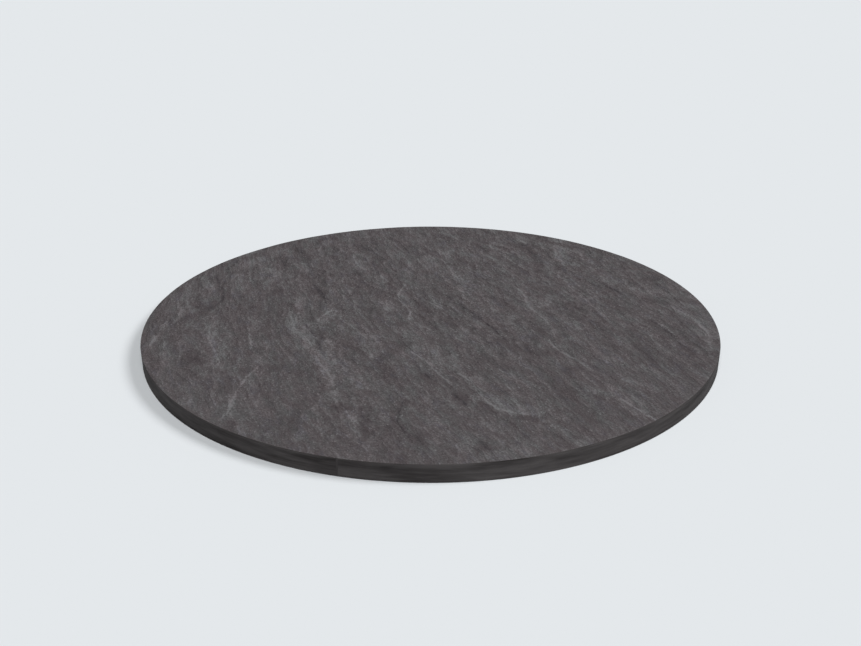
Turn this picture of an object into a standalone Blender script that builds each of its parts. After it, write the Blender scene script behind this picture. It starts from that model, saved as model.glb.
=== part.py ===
"""Round slab of riven slate, 700 mm across and 20 mm thick.

The slab is one piece of stone.  Its underside is sawn flat, its rim is ground to a circle,
and its top is left as it split: thin plates of the slate end in low ledges, which follow the
grain from the far left to the near right.  The highest plates lie at the full thickness.

Units are metres, +Z is up, and the origin is the middle of the underside.
"""

import math
from typing import NamedTuple

import bmesh
import bpy
import numpy as np
from mathutils import Vector
from mathutils.geometry import delaunay_2d_cdt

# Driving sizes
DIAMETER = 0.700
THICKNESS = 0.020
TOP_ARRIS = 0.0008
BOTTOM_ARRIS = 0.0010

# Relief of the riven face
DEEPEST_SCAR = 0.0024
LEDGE_FACE_WIDTH = 0.0011
LEDGE_TAIL = 0.28
SWELL_HEIGHT = 0.00030
GRAIN_ANGLE = math.radians(-67.0)
RIM_RELIEF_SHARE = 0.30
RIM_FADE_WIDTH = 0.045

# Fineness of the faceted solid
RIM_SEGMENTS = 144
PLATE_POINT_SPACING = 0.0125
LEDGE_POINT_SPACING = 0.0075
CLEAR_OF_LEDGE = 0.0045
CLEAR_OF_RIM = 0.0065
SHARP_ANGLE = math.radians(28.0)

# Finish
SLATE_COLOUR = (0.097, 0.089, 0.092, 1.0)
SLATE_ROUGHNESS = 0.62

RIGHT = 1.0
LEFT = -1.0


class Ledge(NamedTuple):
    """One broken plate edge, with its line listed from its far end to its near end."""

    name: str
    low_side: float
    drop: float
    run_out: float
    line: tuple


class Pit(NamedTuple):
    """One shallow round scar."""

    name: str
    centre: tuple
    radius: float
    depth: float


LEDGES = (
    Ledge("far left scarp", RIGHT, 0.0011, 0.022, (
        (-0.113, 0.228), (-0.111, 0.205), (-0.104, 0.182), (-0.098, 0.166), (-0.088, 0.150))),
    Ledge("far left wall", LEFT, 0.0008, 0.016, (
        (-0.085, 0.194), (-0.080, 0.172), (-0.074, 0.150), (-0.070, 0.130))),
    Ledge("far left fold", LEFT, 0.0005, 0.020, (
        (-0.133, 0.240), (-0.127, 0.218), (-0.118, 0.196))),
    Ledge("far arc", LEFT, 0.0007, 0.018, (
        (-0.108, 0.264), (-0.100, 0.249), (-0.091, 0.240), (-0.076, 0.238))),
    Ledge("far left notch", LEFT, 0.0010, 0.018, (
        (-0.222, 0.224), (-0.217, 0.204), (-0.211, 0.186), (-0.203, 0.168))),
    Ledge("far left grain", LEFT, 0.0007, 0.022, (
        (-0.193, 0.242), (-0.186, 0.222), (-0.179, 0.206), (-0.170, 0.188))),
    Ledge("left rim edge", RIGHT, 0.0008, 0.020, (
        (-0.331, 0.108), (-0.324, 0.080), (-0.318, 0.055), (-0.312, 0.030), (-0.300, 0.008))),
    Ledge("left cleft", LEFT, 0.0013, 0.018, (
        (-0.302, 0.152), (-0.291, 0.118), (-0.282, 0.095), (-0.273, 0.068),
        (-0.270, 0.045), (-0.276, 0.024), (-0.286, 0.006))),
    Ledge("left shade", LEFT, 0.0007, 0.016, (
        (-0.312, -0.018), (-0.310, -0.040), (-0.305, -0.064))),
    Ledge("left plate edge", RIGHT, 0.0011, 0.030, (
        (-0.268, 0.004), (-0.268, -0.030), (-0.265, -0.060), (-0.257, -0.086),
        (-0.249, -0.103), (-0.242, -0.122), (-0.238, -0.138), (-0.243, -0.158))),
    Ledge("left streak", RIGHT, 0.0007, 0.020, (
        (-0.219, -0.052), (-0.213, -0.078), (-0.205, -0.104))),
    Ledge("left hollow", LEFT, 0.0008, 0.020, (
        (-0.284, -0.110), (-0.271, -0.125), (-0.254, -0.137))),
    Ledge("near left vein", RIGHT, 0.0010, 0.026, (
        (-0.186, -0.137), (-0.196, -0.160), (-0.202, -0.184), (-0.205, -0.207),
        (-0.206, -0.230), (-0.205, -0.250), (-0.211, -0.268))),
    Ledge("middle left scarp", RIGHT, 0.0013, 0.034, (
        (-0.181, 0.032), (-0.174, -0.005), (-0.168, -0.030), (-0.157, -0.056),
        (-0.146, -0.071), (-0.140, -0.090), (-0.131, -0.115), (-0.123, -0.138),
        (-0.113, -0.160), (-0.106, -0.184), (-0.099, -0.208))),
    Ledge("left hook", RIGHT, 0.0008, 0.018, (
        (-0.121, 0.024), (-0.131, 0.002), (-0.138, -0.015), (-0.141, -0.036))),
    Ledge("left dark line", LEFT, 0.0010, 0.022, (
        (-0.161, 0.110), (-0.150, 0.088), (-0.142, 0.070), (-0.137, 0.050), (-0.133, 0.030))),
    Ledge("middle fork", LEFT, 0.0008, 0.018, (
        (-0.095, 0.108), (-0.098, 0.085), (-0.101, 0.068), (-0.108, 0.050))),
    Ledge("middle fork foot", LEFT, 0.0007, 0.018, (
        (-0.122, 0.044), (-0.113, 0.022), (-0.103, 0.002))),
    Ledge("centre scarp", RIGHT, 0.0013, 0.028, (
        (-0.031, 0.110), (-0.038, 0.085), (-0.042, 0.066), (-0.041, 0.050),
        (-0.037, 0.036), (-0.031, 0.022), (-0.025, 0.010), (-0.026, -0.008), (-0.021, -0.030))),
    Ledge("centre step", RIGHT, 0.0005, 0.014, (
        (-0.059, 0.060), (-0.056, 0.034), (-0.055, 0.008))),
    Ledge("centre wall", LEFT, 0.0007, 0.016, (
        (-0.009, 0.092), (-0.008, 0.068), (-0.004, 0.044))),
    Ledge("blue cleft", LEFT, 0.0013, 0.024, (
        (0.008, 0.088), (0.020, 0.064), (0.031, 0.044), (0.041, 0.026), (0.052, 0.006),
        (0.063, -0.014), (0.074, -0.036), (0.083, -0.060), (0.093, -0.088))),
    Ledge("centre far edge", RIGHT, 0.0005, 0.018, (
        (0.027, 0.158), (0.036, 0.132), (0.042, 0.108))),
    Ledge("right centre scarp", RIGHT, 0.0013, 0.030, (
        (0.105, 0.112), (0.115, 0.090), (0.121, 0.072), (0.124, 0.052), (0.124, 0.034),
        (0.128, 0.016), (0.137, -0.002), (0.143, -0.022), (0.146, -0.044))),
    Ledge("right centre edge", RIGHT, 0.0011, 0.026, (
        (0.138, -0.070), (0.143, -0.092), (0.149, -0.108), (0.158, -0.122),
        (0.167, -0.136), (0.180, -0.160))),
    Ledge("right long edge", RIGHT, 0.0011, 0.030, (
        (0.168, 0.158), (0.178, 0.130), (0.185, 0.106), (0.189, 0.086), (0.196, 0.064),
        (0.203, 0.044), (0.208, 0.022), (0.214, 0.002), (0.222, -0.022))),
    Ledge("far pit lip", RIGHT, 0.0007, 0.012, (
        (0.035, 0.240), (0.027, 0.232), (0.022, 0.216))),
    Ledge("far middle edge", RIGHT, 0.0007, 0.018, (
        (0.019, 0.346), (0.028, 0.320), (0.035, 0.302), (0.044, 0.280))),
    Ledge("far middle wall", LEFT, 0.0007, 0.016, (
        (0.049, 0.346), (0.056, 0.318), (0.061, 0.292))),
    Ledge("far right lobe", RIGHT, 0.0008, 0.016, (
        (0.099, 0.278), (0.090, 0.262), (0.092, 0.248), (0.101, 0.234))),
    Ledge("far grain wall", LEFT, 0.0007, 0.020, (
        (0.067, 0.278), (0.076, 0.250), (0.084, 0.222))),
    Ledge("far right edge", RIGHT, 0.0008, 0.022, (
        (0.110, 0.226), (0.110, 0.207), (0.117, 0.190), (0.126, 0.171), (0.136, 0.152))),
    Ledge("right grain wall", LEFT, 0.0008, 0.022, (
        (0.078, 0.194), (0.088, 0.166), (0.093, 0.146), (0.097, 0.120))),
    Ledge("far right cleft", LEFT, 0.0013, 0.018, (
        (0.147, 0.274), (0.144, 0.248), (0.149, 0.228), (0.156, 0.204))),
    Ledge("far right rise", RIGHT, 0.0010, 0.026, (
        (0.187, 0.268), (0.184, 0.236), (0.186, 0.210), (0.192, 0.184))),
    Ledge("far right line", RIGHT, 0.0005, 0.016, (
        (0.215, 0.242), (0.220, 0.215), (0.219, 0.192))),
    Ledge("right shade", LEFT, 0.0011, 0.022, (
        (0.224, 0.128), (0.233, 0.104), (0.243, 0.086), (0.252, 0.070), (0.264, 0.056))),
    Ledge("right rim scarp", RIGHT, 0.0014, 0.030, (
        (0.303, 0.032), (0.313, 0.011), (0.322, -0.008), (0.328, -0.028),
        (0.331, -0.052), (0.330, -0.080))),
    Ledge("right groove", LEFT, 0.0010, 0.022, (
        (0.270, -0.010), (0.279, -0.036), (0.287, -0.062), (0.293, -0.086), (0.306, -0.120))),
    Ledge("right near wall", LEFT, 0.0008, 0.022, (
        (0.232, -0.072), (0.239, -0.098), (0.247, -0.118), (0.255, -0.144))),
    Ledge("near right edge", RIGHT, 0.0013, 0.028, (
        (0.188, -0.186), (0.194, -0.208), (0.202, -0.228), (0.214, -0.250), (0.226, -0.268))),
    Ledge("near centre edge", RIGHT, 0.0013, 0.026, (
        (-0.029, -0.100), (-0.016, -0.118), (-0.005, -0.136), (0.004, -0.155),
        (0.013, -0.172), (0.025, -0.194))),
    Ledge("near centre cleft", LEFT, 0.0010, 0.016, (
        (-0.018, -0.140), (-0.008, -0.160), (0.002, -0.182))),
    Ledge("near scarp", LEFT, 0.0013, 0.022, (
        (0.029, -0.158), (0.041, -0.182), (0.049, -0.203), (0.056, -0.222),
        (0.064, -0.237), (0.075, -0.247), (0.092, -0.254), (0.112, -0.258))),
    Ledge("near notch", LEFT, 0.0010, 0.014, (
        (0.022, -0.208), (0.031, -0.224), (0.039, -0.242))),
    Ledge("near crack", LEFT, 0.0010, 0.020, (
        (-0.026, -0.220), (-0.030, -0.246), (-0.032, -0.268), (-0.026, -0.286),
        (-0.019, -0.304))),
    Ledge("near left step", RIGHT, 0.0008, 0.016, (
        (-0.086, -0.244), (-0.079, -0.264), (-0.072, -0.282))),
    Ledge("near left wall", LEFT, 0.0007, 0.016, (
        (-0.062, -0.270), (-0.056, -0.292), (-0.050, -0.312))),
    Ledge("near rim wall", LEFT, 0.0007, 0.016, (
        (0.044, -0.298), (0.051, -0.316), (0.058, -0.334))),
)

PITS = (
    Pit("far pit", (0.040, 0.253), 0.012, 0.0009),
    Pit("pit tail", (0.041, 0.207), 0.009, 0.0006),
    Pit("right blotch", (0.256, 0.064), 0.012, 0.0006),
    Pit("left blotch", (-0.292, -0.002), 0.011, 0.0006),
    Pit("near blotch", (0.106, -0.266), 0.010, 0.0006),
)


def smooth_step(value):
    """Return 3t^2 - 2t^3 of the value held between 0 and 1."""
    t = np.clip(value, 0.0, 1.0)
    return t * t * (3.0 - 2.0 * t)


def smooth_line(points, spacing):
    """Return a Catmull-Rom curve through the points, at about the given spacing."""
    knots = np.asarray(points, dtype=float)
    padded = np.vstack((2.0 * knots[0] - knots[1], knots, 2.0 * knots[-1] - knots[-2]))
    pieces = []
    for before, start, end, after in zip(padded, padded[1:], padded[2:], padded[3:]):
        count = max(1, round(math.dist(start, end) / spacing))
        t = (np.arange(count) / count)[:, None]
        pieces.append(0.5 * (
            2.0 * start
            + (end - before) * t
            + (2.0 * before - 5.0 * start + 4.0 * end - after) * t ** 2
            + (3.0 * start - before - 3.0 * end + after) * t ** 3))
    pieces.append(knots[-1:])
    return np.vstack(pieces)


def offset_line(line, distance):
    """Return the line moved sideways, towards +X for a line that runs towards -Y."""
    along = np.gradient(line, axis=0)
    along /= np.linalg.norm(along, axis=1)[:, None]
    across = np.column_stack((-along[:, 1], along[:, 0]))
    return line + across * distance


def line_coordinates(x, y, line):
    """Return each point's signed distance from the line and its place along it, 0 to 1."""
    lengths = np.linalg.norm(np.diff(line, axis=0), axis=1)
    walked = np.concatenate(([0.0], np.cumsum(lengths)))
    nearest = np.full(x.shape, np.inf)
    signed = np.zeros(x.shape)
    place = np.zeros(x.shape)
    for start, end, length, before in zip(line, line[1:], lengths, walked):
        along = (end - start) / length
        from_start_x = x - start[0]
        from_start_y = y - start[1]
        reach = np.clip(from_start_x * along[0] + from_start_y * along[1], 0.0, length)
        gap = np.hypot(from_start_x - along[0] * reach, from_start_y - along[1] * reach)
        side = np.where(along[0] * from_start_y - along[1] * from_start_x >= 0.0, 1.0, -1.0)
        closer = gap < nearest
        nearest = np.where(closer, gap, nearest)
        signed = np.where(closer, gap * side, signed)
        place = np.where(closer, (before + reach) / walked[-1], place)
    return signed, place


def ledge_depth(x, y, ledge):
    """Return how far a ledge lowers the face: a step down at its line, rising again slowly.

    The depth is drop * taper * step * exp(-distance / run_out), with the step from 0 to 1
    across the ledge's face and the taper falling to 0 at both ends of the line.
    """
    signed, place = line_coordinates(x, y, smooth_line(ledge.line, LEDGE_POINT_SPACING))
    below = signed * ledge.low_side
    step = np.clip(below / LEDGE_FACE_WIDTH + 0.5, 0.0, 1.0)
    taper = smooth_step(place / LEDGE_TAIL) * smooth_step((1.0 - place) / LEDGE_TAIL)
    return ledge.drop * taper * step * np.exp(-np.maximum(below, 0.0) / ledge.run_out)


def pit_depth(x, y, pit):
    """Return how far a pit lowers the face: a smooth bowl inside its radius."""
    distance = np.hypot(x - pit.centre[0], y - pit.centre[1])
    return pit.depth * smooth_step(1.5 * (1.0 - distance / pit.radius))


def swell_depth(x, y):
    """Return the broad low waves of the split, long with the grain and short across it."""
    along = x * math.cos(GRAIN_ANGLE) + y * math.sin(GRAIN_ANGLE)
    across = -x * math.sin(GRAIN_ANGLE) + y * math.cos(GRAIN_ANGLE)
    waves = (
        np.sin(across / 0.031 + 0.8 * np.sin(along / 0.090))
        + 0.7 * np.sin(across / 0.017 + 1.3 * np.sin(along / 0.060 + 1.0) + 2.0)
        + 0.8 * np.sin(along / 0.075 + across / 0.110 + 0.6))
    return SWELL_HEIGHT * waves


def face_height(x, y):
    """Return the height of the riven face above the underside."""
    depth = swell_depth(x, y)
    for ledge in LEDGES:
        depth = depth + ledge_depth(x, y, ledge)
    for pit in PITS:
        depth = depth + pit_depth(x, y, pit)
    depth = DEEPEST_SCAR * np.tanh(np.maximum(depth, 0.0) / DEEPEST_SCAR)
    inset = DIAMETER / 2.0 - np.hypot(x, y)
    share = RIM_RELIEF_SHARE + (1.0 - RIM_RELIEF_SHARE) * smooth_step(inset / RIM_FADE_WIDTH)
    return THICKNESS - depth * share


def rim_circle(radius):
    """Return the rim's plan points at the given radius."""
    turn = np.arange(RIM_SEGMENTS) * 2.0 * math.pi / RIM_SEGMENTS
    return np.column_stack((np.cos(turn), np.sin(turn))) * radius


def ledge_points(radius):
    """Return the plan points of every ledge's crest and foot, and the edges that join them."""
    points = []
    edges = []
    for ledge in LEDGES:
        line = smooth_line(ledge.line, LEDGE_POINT_SPACING)
        for distance in (-LEDGE_FACE_WIDTH / 2.0, LEDGE_FACE_WIDTH / 2.0):
            row = offset_line(line, distance)
            row = row[np.hypot(row[:, 0], row[:, 1]) < radius - CLEAR_OF_RIM]
            first = len(points)
            points.extend(row)
            edges.extend((index, index + 1) for index in range(first, first + len(row) - 1))
    return np.array(points), edges


def plate_points(radius, ledge_line_points):
    """Return a triangular lattice over the face, left out close to the ledges and the rim."""
    row_height = PLATE_POINT_SPACING * math.sqrt(3.0) / 2.0
    reach = math.ceil(radius / row_height)
    rows, columns = np.meshgrid(np.arange(-reach, reach + 1), np.arange(-reach, reach + 1))
    x = (columns + 0.5 * (rows % 2)) * PLATE_POINT_SPACING
    y = rows * row_height
    lattice = np.column_stack((x.ravel(), y.ravel()))
    lattice = lattice[np.hypot(lattice[:, 0], lattice[:, 1]) < radius - CLEAR_OF_RIM]
    gaps = np.linalg.norm(lattice[:, None, :] - ledge_line_points[None, :, :], axis=2)
    return lattice[gaps.min(axis=1) > CLEAR_OF_LEDGE]


def face_triangles(radius):
    """Return the riven face's vertices and triangles, with the rim's ring as the first ones."""
    ring = rim_circle(radius)
    ledges, ledge_edges = ledge_points(radius)
    plates = plate_points(radius, ledges)
    plan = np.vstack((ring, ledges, plates))
    edges = [(index, (index + 1) % RIM_SEGMENTS) for index in range(RIM_SEGMENTS)]
    edges += [(start + RIM_SEGMENTS, end + RIM_SEGMENTS) for start, end in ledge_edges]
    found, _, triangles, *_ = delaunay_2d_cdt(
        [Vector(point) for point in plan], edges, [], 0, 1e-6)
    places = np.array([tuple(point) for point in found])
    heights = face_height(places[:, 0], places[:, 1])
    return np.column_stack((places, heights)), triangles


def build_slab():
    """Make the slab as one closed mesh: riven face, top arris, rim, bottom arris, underside."""
    radius = DIAMETER / 2.0
    vertices, triangles = face_triangles(radius - TOP_ARRIS)
    outer = rim_circle(radius)
    top_heights = vertices[:RIM_SEGMENTS, 2] - TOP_ARRIS
    rings = (
        np.column_stack((outer, top_heights)),
        np.column_stack((outer, np.full(RIM_SEGMENTS, BOTTOM_ARRIS))),
        np.column_stack((rim_circle(radius - BOTTOM_ARRIS), np.zeros(RIM_SEGMENTS))),
    )
    shape = bmesh.new()
    face = [shape.verts.new(vertex) for vertex in vertices]
    for triangle in triangles:
        shape.faces.new([face[index] for index in triangle])
    upper = face[:RIM_SEGMENTS]
    for ring in rings:
        lower = [shape.verts.new(vertex) for vertex in ring]
        for index in range(RIM_SEGMENTS):
            after = (index + 1) % RIM_SEGMENTS
            shape.faces.new((upper[index], lower[index], lower[after], upper[after]))
        upper = lower
    shape.faces.new(reversed(upper))
    bmesh.ops.recalc_face_normals(shape, faces=shape.faces)
    mesh = bpy.data.meshes.new("slate_slab")
    shape.to_mesh(mesh)
    shape.free()
    mesh.shade_smooth()
    mesh.set_sharp_from_angle(angle=SHARP_ANGLE)
    return mesh


def slate_material():
    """Make the plain dark grey slate."""
    material = bpy.data.materials.new("slate")
    material.use_nodes = True
    shader = material.node_tree.nodes["Principled BSDF"]
    shader.inputs["Base Color"].default_value = SLATE_COLOUR
    shader.inputs["Roughness"].default_value = SLATE_ROUGHNESS
    shader.inputs["Metallic"].default_value = 0.0
    return material


def main():
    """Clear the scene's objects and place the slab."""
    for thing in list(bpy.data.objects):
        bpy.data.objects.remove(thing, do_unlink=True)
    mesh = build_slab()
    mesh.materials.append(slate_material())
    slab = bpy.data.objects.new("slate_slab", mesh)
    bpy.context.scene.collection.objects.link(slab)


main()
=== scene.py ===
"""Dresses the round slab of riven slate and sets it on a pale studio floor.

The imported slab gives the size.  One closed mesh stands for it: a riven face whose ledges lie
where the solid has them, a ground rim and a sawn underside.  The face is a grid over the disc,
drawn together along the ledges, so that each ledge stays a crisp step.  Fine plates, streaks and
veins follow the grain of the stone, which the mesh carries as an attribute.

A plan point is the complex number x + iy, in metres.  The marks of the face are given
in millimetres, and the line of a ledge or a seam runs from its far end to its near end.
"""

import logging
import math
from dataclasses import dataclass, field
from enum import Enum
from typing import Optional, Sequence, Union

import bpy
import numpy as np
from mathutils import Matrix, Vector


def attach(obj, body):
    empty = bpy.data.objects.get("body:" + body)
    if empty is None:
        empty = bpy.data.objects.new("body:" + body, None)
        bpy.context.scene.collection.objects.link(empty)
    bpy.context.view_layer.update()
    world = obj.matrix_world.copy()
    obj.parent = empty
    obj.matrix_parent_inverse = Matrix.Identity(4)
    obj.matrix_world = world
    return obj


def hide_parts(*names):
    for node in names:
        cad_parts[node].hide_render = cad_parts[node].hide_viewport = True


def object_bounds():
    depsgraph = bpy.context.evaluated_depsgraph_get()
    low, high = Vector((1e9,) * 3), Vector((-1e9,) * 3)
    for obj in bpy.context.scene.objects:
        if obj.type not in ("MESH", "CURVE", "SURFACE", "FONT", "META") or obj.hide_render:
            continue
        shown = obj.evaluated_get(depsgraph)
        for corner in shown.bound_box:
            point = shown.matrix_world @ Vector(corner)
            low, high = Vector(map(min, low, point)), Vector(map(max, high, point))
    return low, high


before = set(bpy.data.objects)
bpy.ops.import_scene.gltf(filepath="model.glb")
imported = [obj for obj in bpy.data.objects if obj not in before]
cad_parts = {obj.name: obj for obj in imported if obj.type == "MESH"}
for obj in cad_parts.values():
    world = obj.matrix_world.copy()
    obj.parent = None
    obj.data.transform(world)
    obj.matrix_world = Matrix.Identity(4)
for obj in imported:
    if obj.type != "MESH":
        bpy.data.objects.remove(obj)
CAD_LOW, CAD_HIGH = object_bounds()

LOG = logging.getLogger("slate_slab")
MM = 0.001

Array = np.ndarray
Colour = tuple[float, float, float, float]
Span = tuple[float, ...]
Line = Sequence[tuple[int, int]]


class Side(Enum):
    """The side of a line on which the lower plate lies."""

    RIGHT = 1.0
    LEFT = -1.0


class Edge(Enum):
    """Whether a line is pale or dark.  On a ledge, pale is a painted highlight along an edge
    whose step mostly faces the lamp at the right, and dark is painted shade along one that
    faces away; on a seam, pale is a vein and dark a hairline cleft in painted shade.
    """

    PALE = 1.0
    DARK = -1.0


class Finish(Enum):
    """The three finishes of the stone, by their material slot."""

    RIVEN = 0
    GROUND = 1
    SAWN = 2


@dataclass(frozen=True)
class Ledge:
    """One broken plate edge of the riven face, as the solid has it, with the highlight or shade
    that its edge paints along it.  A bold edge is 1.
    """

    name: str
    low_side: Side
    drop: float
    run_out: float
    edge: Edge
    boldness: float
    line: Line


@dataclass(frozen=True)
class Seam:
    """One thin vein, pale, or hairline cleft, dark with painted shade, of the face, which has no
    ledge of its own.
    """

    name: str
    edge: Edge
    boldness: float
    line: Line


@dataclass(frozen=True)
class Streak:
    """One soft plate of the face.  Its tone is over 0 for light and under 0 for dark."""

    tone: float
    half_width: float
    line: Line


@dataclass(frozen=True)
class Pit:
    """One shallow round scar."""

    name: str
    centre: tuple[int, int]
    radius: float
    depth: float


LEDGES = (
    Ledge("far left scarp", Side.RIGHT, 1.1, 22, Edge.PALE, 1.0, (
        (-113, 228), (-111, 205), (-104, 182), (-98, 166), (-88, 150))),
    Ledge("far left wall", Side.LEFT, 0.8, 16, Edge.DARK, 0.8, (
        (-85, 194), (-80, 172), (-74, 150), (-70, 130))),
    Ledge("far left fold", Side.LEFT, 0.5, 20, Edge.DARK, 0.4, ((-133, 240), (-127, 218), (-118, 196))),
    Ledge("far arc", Side.LEFT, 0.7, 18, Edge.DARK, 0.6, (
        (-108, 264), (-100, 249), (-91, 240), (-76, 238))),
    Ledge("far left notch", Side.LEFT, 1, 18, Edge.DARK, 0.9, (
        (-222, 224), (-217, 204), (-211, 186), (-203, 168))),
    Ledge("far left grain", Side.LEFT, 0.7, 22, Edge.DARK, 0.6, (
        (-193, 242), (-186, 222), (-179, 206), (-170, 188))),
    Ledge("left rim edge", Side.RIGHT, 0.8, 20, Edge.PALE, 0.7, (
        (-331, 108), (-324, 80), (-318, 55), (-312, 30), (-300, 8))),
    Ledge("left cleft", Side.LEFT, 1.3, 18, Edge.DARK, 1.0, (
        (-302, 152), (-291, 118), (-282, 95), (-273, 68), (-270, 45), (-276, 24), (-286, 6))),
    Ledge("left shade", Side.LEFT, 0.7, 16, Edge.DARK, 0.6, ((-312, -18), (-310, -40), (-305, -64))),
    Ledge("left plate edge", Side.RIGHT, 1.1, 30, Edge.PALE, 0.9, (
        (-268, 4), (-268, -30), (-265, -60), (-257, -86), (-249, -103), (-242, -122), (-238, -138),
        (-243, -158))),
    Ledge("left streak", Side.RIGHT, 0.7, 20, Edge.PALE, 0.8, ((-219, -52), (-213, -78), (-205, -104))),
    Ledge("left hollow", Side.LEFT, 0.8, 20, Edge.DARK, 0.6, ((-284, -110), (-271, -125), (-254, -137))),
    Ledge("near left vein", Side.RIGHT, 1, 26, Edge.PALE, 1.4, (
        (-186, -137), (-196, -160), (-202, -184), (-205, -207), (-206, -230), (-205, -250),
        (-211, -268))),
    Ledge("middle left scarp", Side.RIGHT, 1.3, 34, Edge.PALE, 0.8, (
        (-181, 32), (-174, -5), (-168, -30), (-157, -56), (-146, -71), (-140, -90), (-131, -115),
        (-123, -138), (-113, -160), (-106, -184), (-99, -208))),
    Ledge("left hook", Side.RIGHT, 0.8, 18, Edge.PALE, 0.9, (
        (-121, 24), (-131, 2), (-138, -15), (-141, -36))),
    Ledge("left dark line", Side.LEFT, 1, 22, Edge.DARK, 0.9, (
        (-161, 110), (-150, 88), (-142, 70), (-137, 50), (-133, 30))),
    Ledge("middle fork", Side.LEFT, 0.8, 18, Edge.DARK, 0.8, (
        (-95, 108), (-98, 85), (-101, 68), (-108, 50))),
    Ledge("middle fork foot", Side.LEFT, 0.7, 18, Edge.DARK, 0.8, ((-122, 44), (-113, 22), (-103, 2))),
    Ledge("centre scarp", Side.RIGHT, 1.3, 28, Edge.PALE, 1.0, (
        (-31, 110), (-38, 85), (-42, 66), (-41, 50), (-37, 36), (-31, 22), (-25, 10), (-26, -8),
        (-21, -30))),
    Ledge("centre step", Side.RIGHT, 0.5, 14, Edge.PALE, 0.7, ((-59, 60), (-56, 34), (-55, 8))),
    Ledge("centre wall", Side.LEFT, 0.7, 16, Edge.DARK, 0.7, ((-9, 92), (-8, 68), (-4, 44))),
    Ledge("blue cleft", Side.LEFT, 1.3, 24, Edge.DARK, 0.6, (
        (8, 88), (20, 64), (31, 44), (41, 26), (52, 6), (63, -14), (74, -36), (83, -60), (93, -88))),
    Ledge("centre far edge", Side.RIGHT, 0.5, 18, Edge.PALE, 0.6, ((27, 158), (36, 132), (42, 108))),
    Ledge("right centre scarp", Side.RIGHT, 1.3, 30, Edge.PALE, 1.0, (
        (105, 112), (115, 90), (121, 72), (124, 52), (124, 34), (128, 16), (137, -2), (143, -22),
        (146, -44))),
    Ledge("right centre edge", Side.RIGHT, 1.1, 26, Edge.PALE, 1.1, (
        (138, -70), (143, -92), (149, -108), (158, -122), (167, -136), (180, -160))),
    Ledge("right long edge", Side.RIGHT, 1.1, 30, Edge.PALE, 0.8, (
        (168, 158), (178, 130), (185, 106), (189, 86), (196, 64), (203, 44), (208, 22), (214, 2),
        (222, -22))),
    Ledge("far pit lip", Side.RIGHT, 0.7, 12, Edge.PALE, 0.7, ((35, 240), (27, 232), (22, 216))),
    Ledge("far middle edge", Side.RIGHT, 0.7, 18, Edge.PALE, 0.7, (
        (19, 346), (28, 320), (35, 302), (44, 280))),
    Ledge("far middle wall", Side.LEFT, 0.7, 16, Edge.DARK, 0.6, ((49, 346), (56, 318), (61, 292))),
    Ledge("far right lobe", Side.RIGHT, 0.8, 16, Edge.PALE, 0.8, (
        (99, 278), (90, 262), (92, 248), (101, 234))),
    Ledge("far grain wall", Side.LEFT, 0.7, 20, Edge.DARK, 0.6, ((67, 278), (76, 250), (84, 222))),
    Ledge("far right edge", Side.RIGHT, 0.8, 22, Edge.PALE, 0.9, (
        (110, 226), (110, 207), (117, 190), (126, 171), (136, 152))),
    Ledge("right grain wall", Side.LEFT, 0.8, 22, Edge.DARK, 0.8, (
        (78, 194), (88, 166), (93, 146), (97, 120))),
    Ledge("far right cleft", Side.LEFT, 1.3, 18, Edge.DARK, 1.0, (
        (147, 274), (144, 248), (149, 228), (156, 204))),
    Ledge("far right rise", Side.RIGHT, 1, 26, Edge.PALE, 0.7, (
        (187, 268), (184, 236), (186, 210), (192, 184))),
    Ledge("far right line", Side.RIGHT, 0.5, 16, Edge.PALE, 0.6, ((215, 242), (220, 215), (219, 192))),
    Ledge("right shade", Side.LEFT, 1.1, 22, Edge.DARK, 0.8, (
        (224, 128), (233, 104), (243, 86), (252, 70), (264, 56))),
    Ledge("right rim scarp", Side.RIGHT, 1.4, 30, Edge.PALE, 1.0, (
        (303, 32), (313, 11), (322, -8), (328, -28), (331, -52), (330, -80))),
    Ledge("right groove", Side.LEFT, 1, 22, Edge.DARK, 0.7, (
        (270, -10), (279, -36), (287, -62), (293, -86), (306, -120))),
    Ledge("right near wall", Side.LEFT, 0.8, 22, Edge.DARK, 0.7, (
        (232, -72), (239, -98), (247, -118), (255, -144))),
    Ledge("near right edge", Side.RIGHT, 1.3, 28, Edge.PALE, 1.0, (
        (188, -186), (194, -208), (202, -228), (214, -250), (226, -268))),
    Ledge("near centre edge", Side.RIGHT, 1.3, 26, Edge.PALE, 1.0, (
        (-29, -100), (-16, -118), (-5, -136), (4, -155), (13, -172), (25, -194))),
    Ledge("near centre cleft", Side.LEFT, 1, 16, Edge.DARK, 0.9, ((-18, -140), (-8, -160), (2, -182))),
    Ledge("near scarp", Side.LEFT, 1.3, 22, Edge.PALE, 0.9, (
        (29, -158), (41, -182), (49, -203), (56, -222), (64, -237), (75, -247), (92, -254),
        (112, -258))),
    Ledge("near notch", Side.LEFT, 1, 14, Edge.DARK, 1.2, ((22, -208), (31, -224), (39, -242))),
    Ledge("near crack", Side.LEFT, 1, 20, Edge.DARK, 1.2, (
        (-26, -220), (-30, -246), (-32, -268), (-26, -286), (-19, -304))),
    Ledge("near left step", Side.RIGHT, 0.8, 16, Edge.PALE, 0.9, ((-86, -244), (-79, -264), (-72, -282))),
    Ledge("near left wall", Side.LEFT, 0.7, 16, Edge.DARK, 0.7, ((-62, -270), (-56, -292), (-50, -312))),
    Ledge("near rim wall", Side.LEFT, 0.7, 16, Edge.DARK, 0.7, ((44, -298), (51, -316), (58, -334))),
)

PITS = (
    Pit("far pit", (40, 253), 12, 0.9),
    Pit("pit tail", (41, 207), 9, 0.6),
    Pit("right blotch", (256, 64), 12, 0.6),
    Pit("left blotch", (-292, -2), 11, 0.6),
    Pit("near blotch", (106, -266), 10, 0.6),
)

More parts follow.
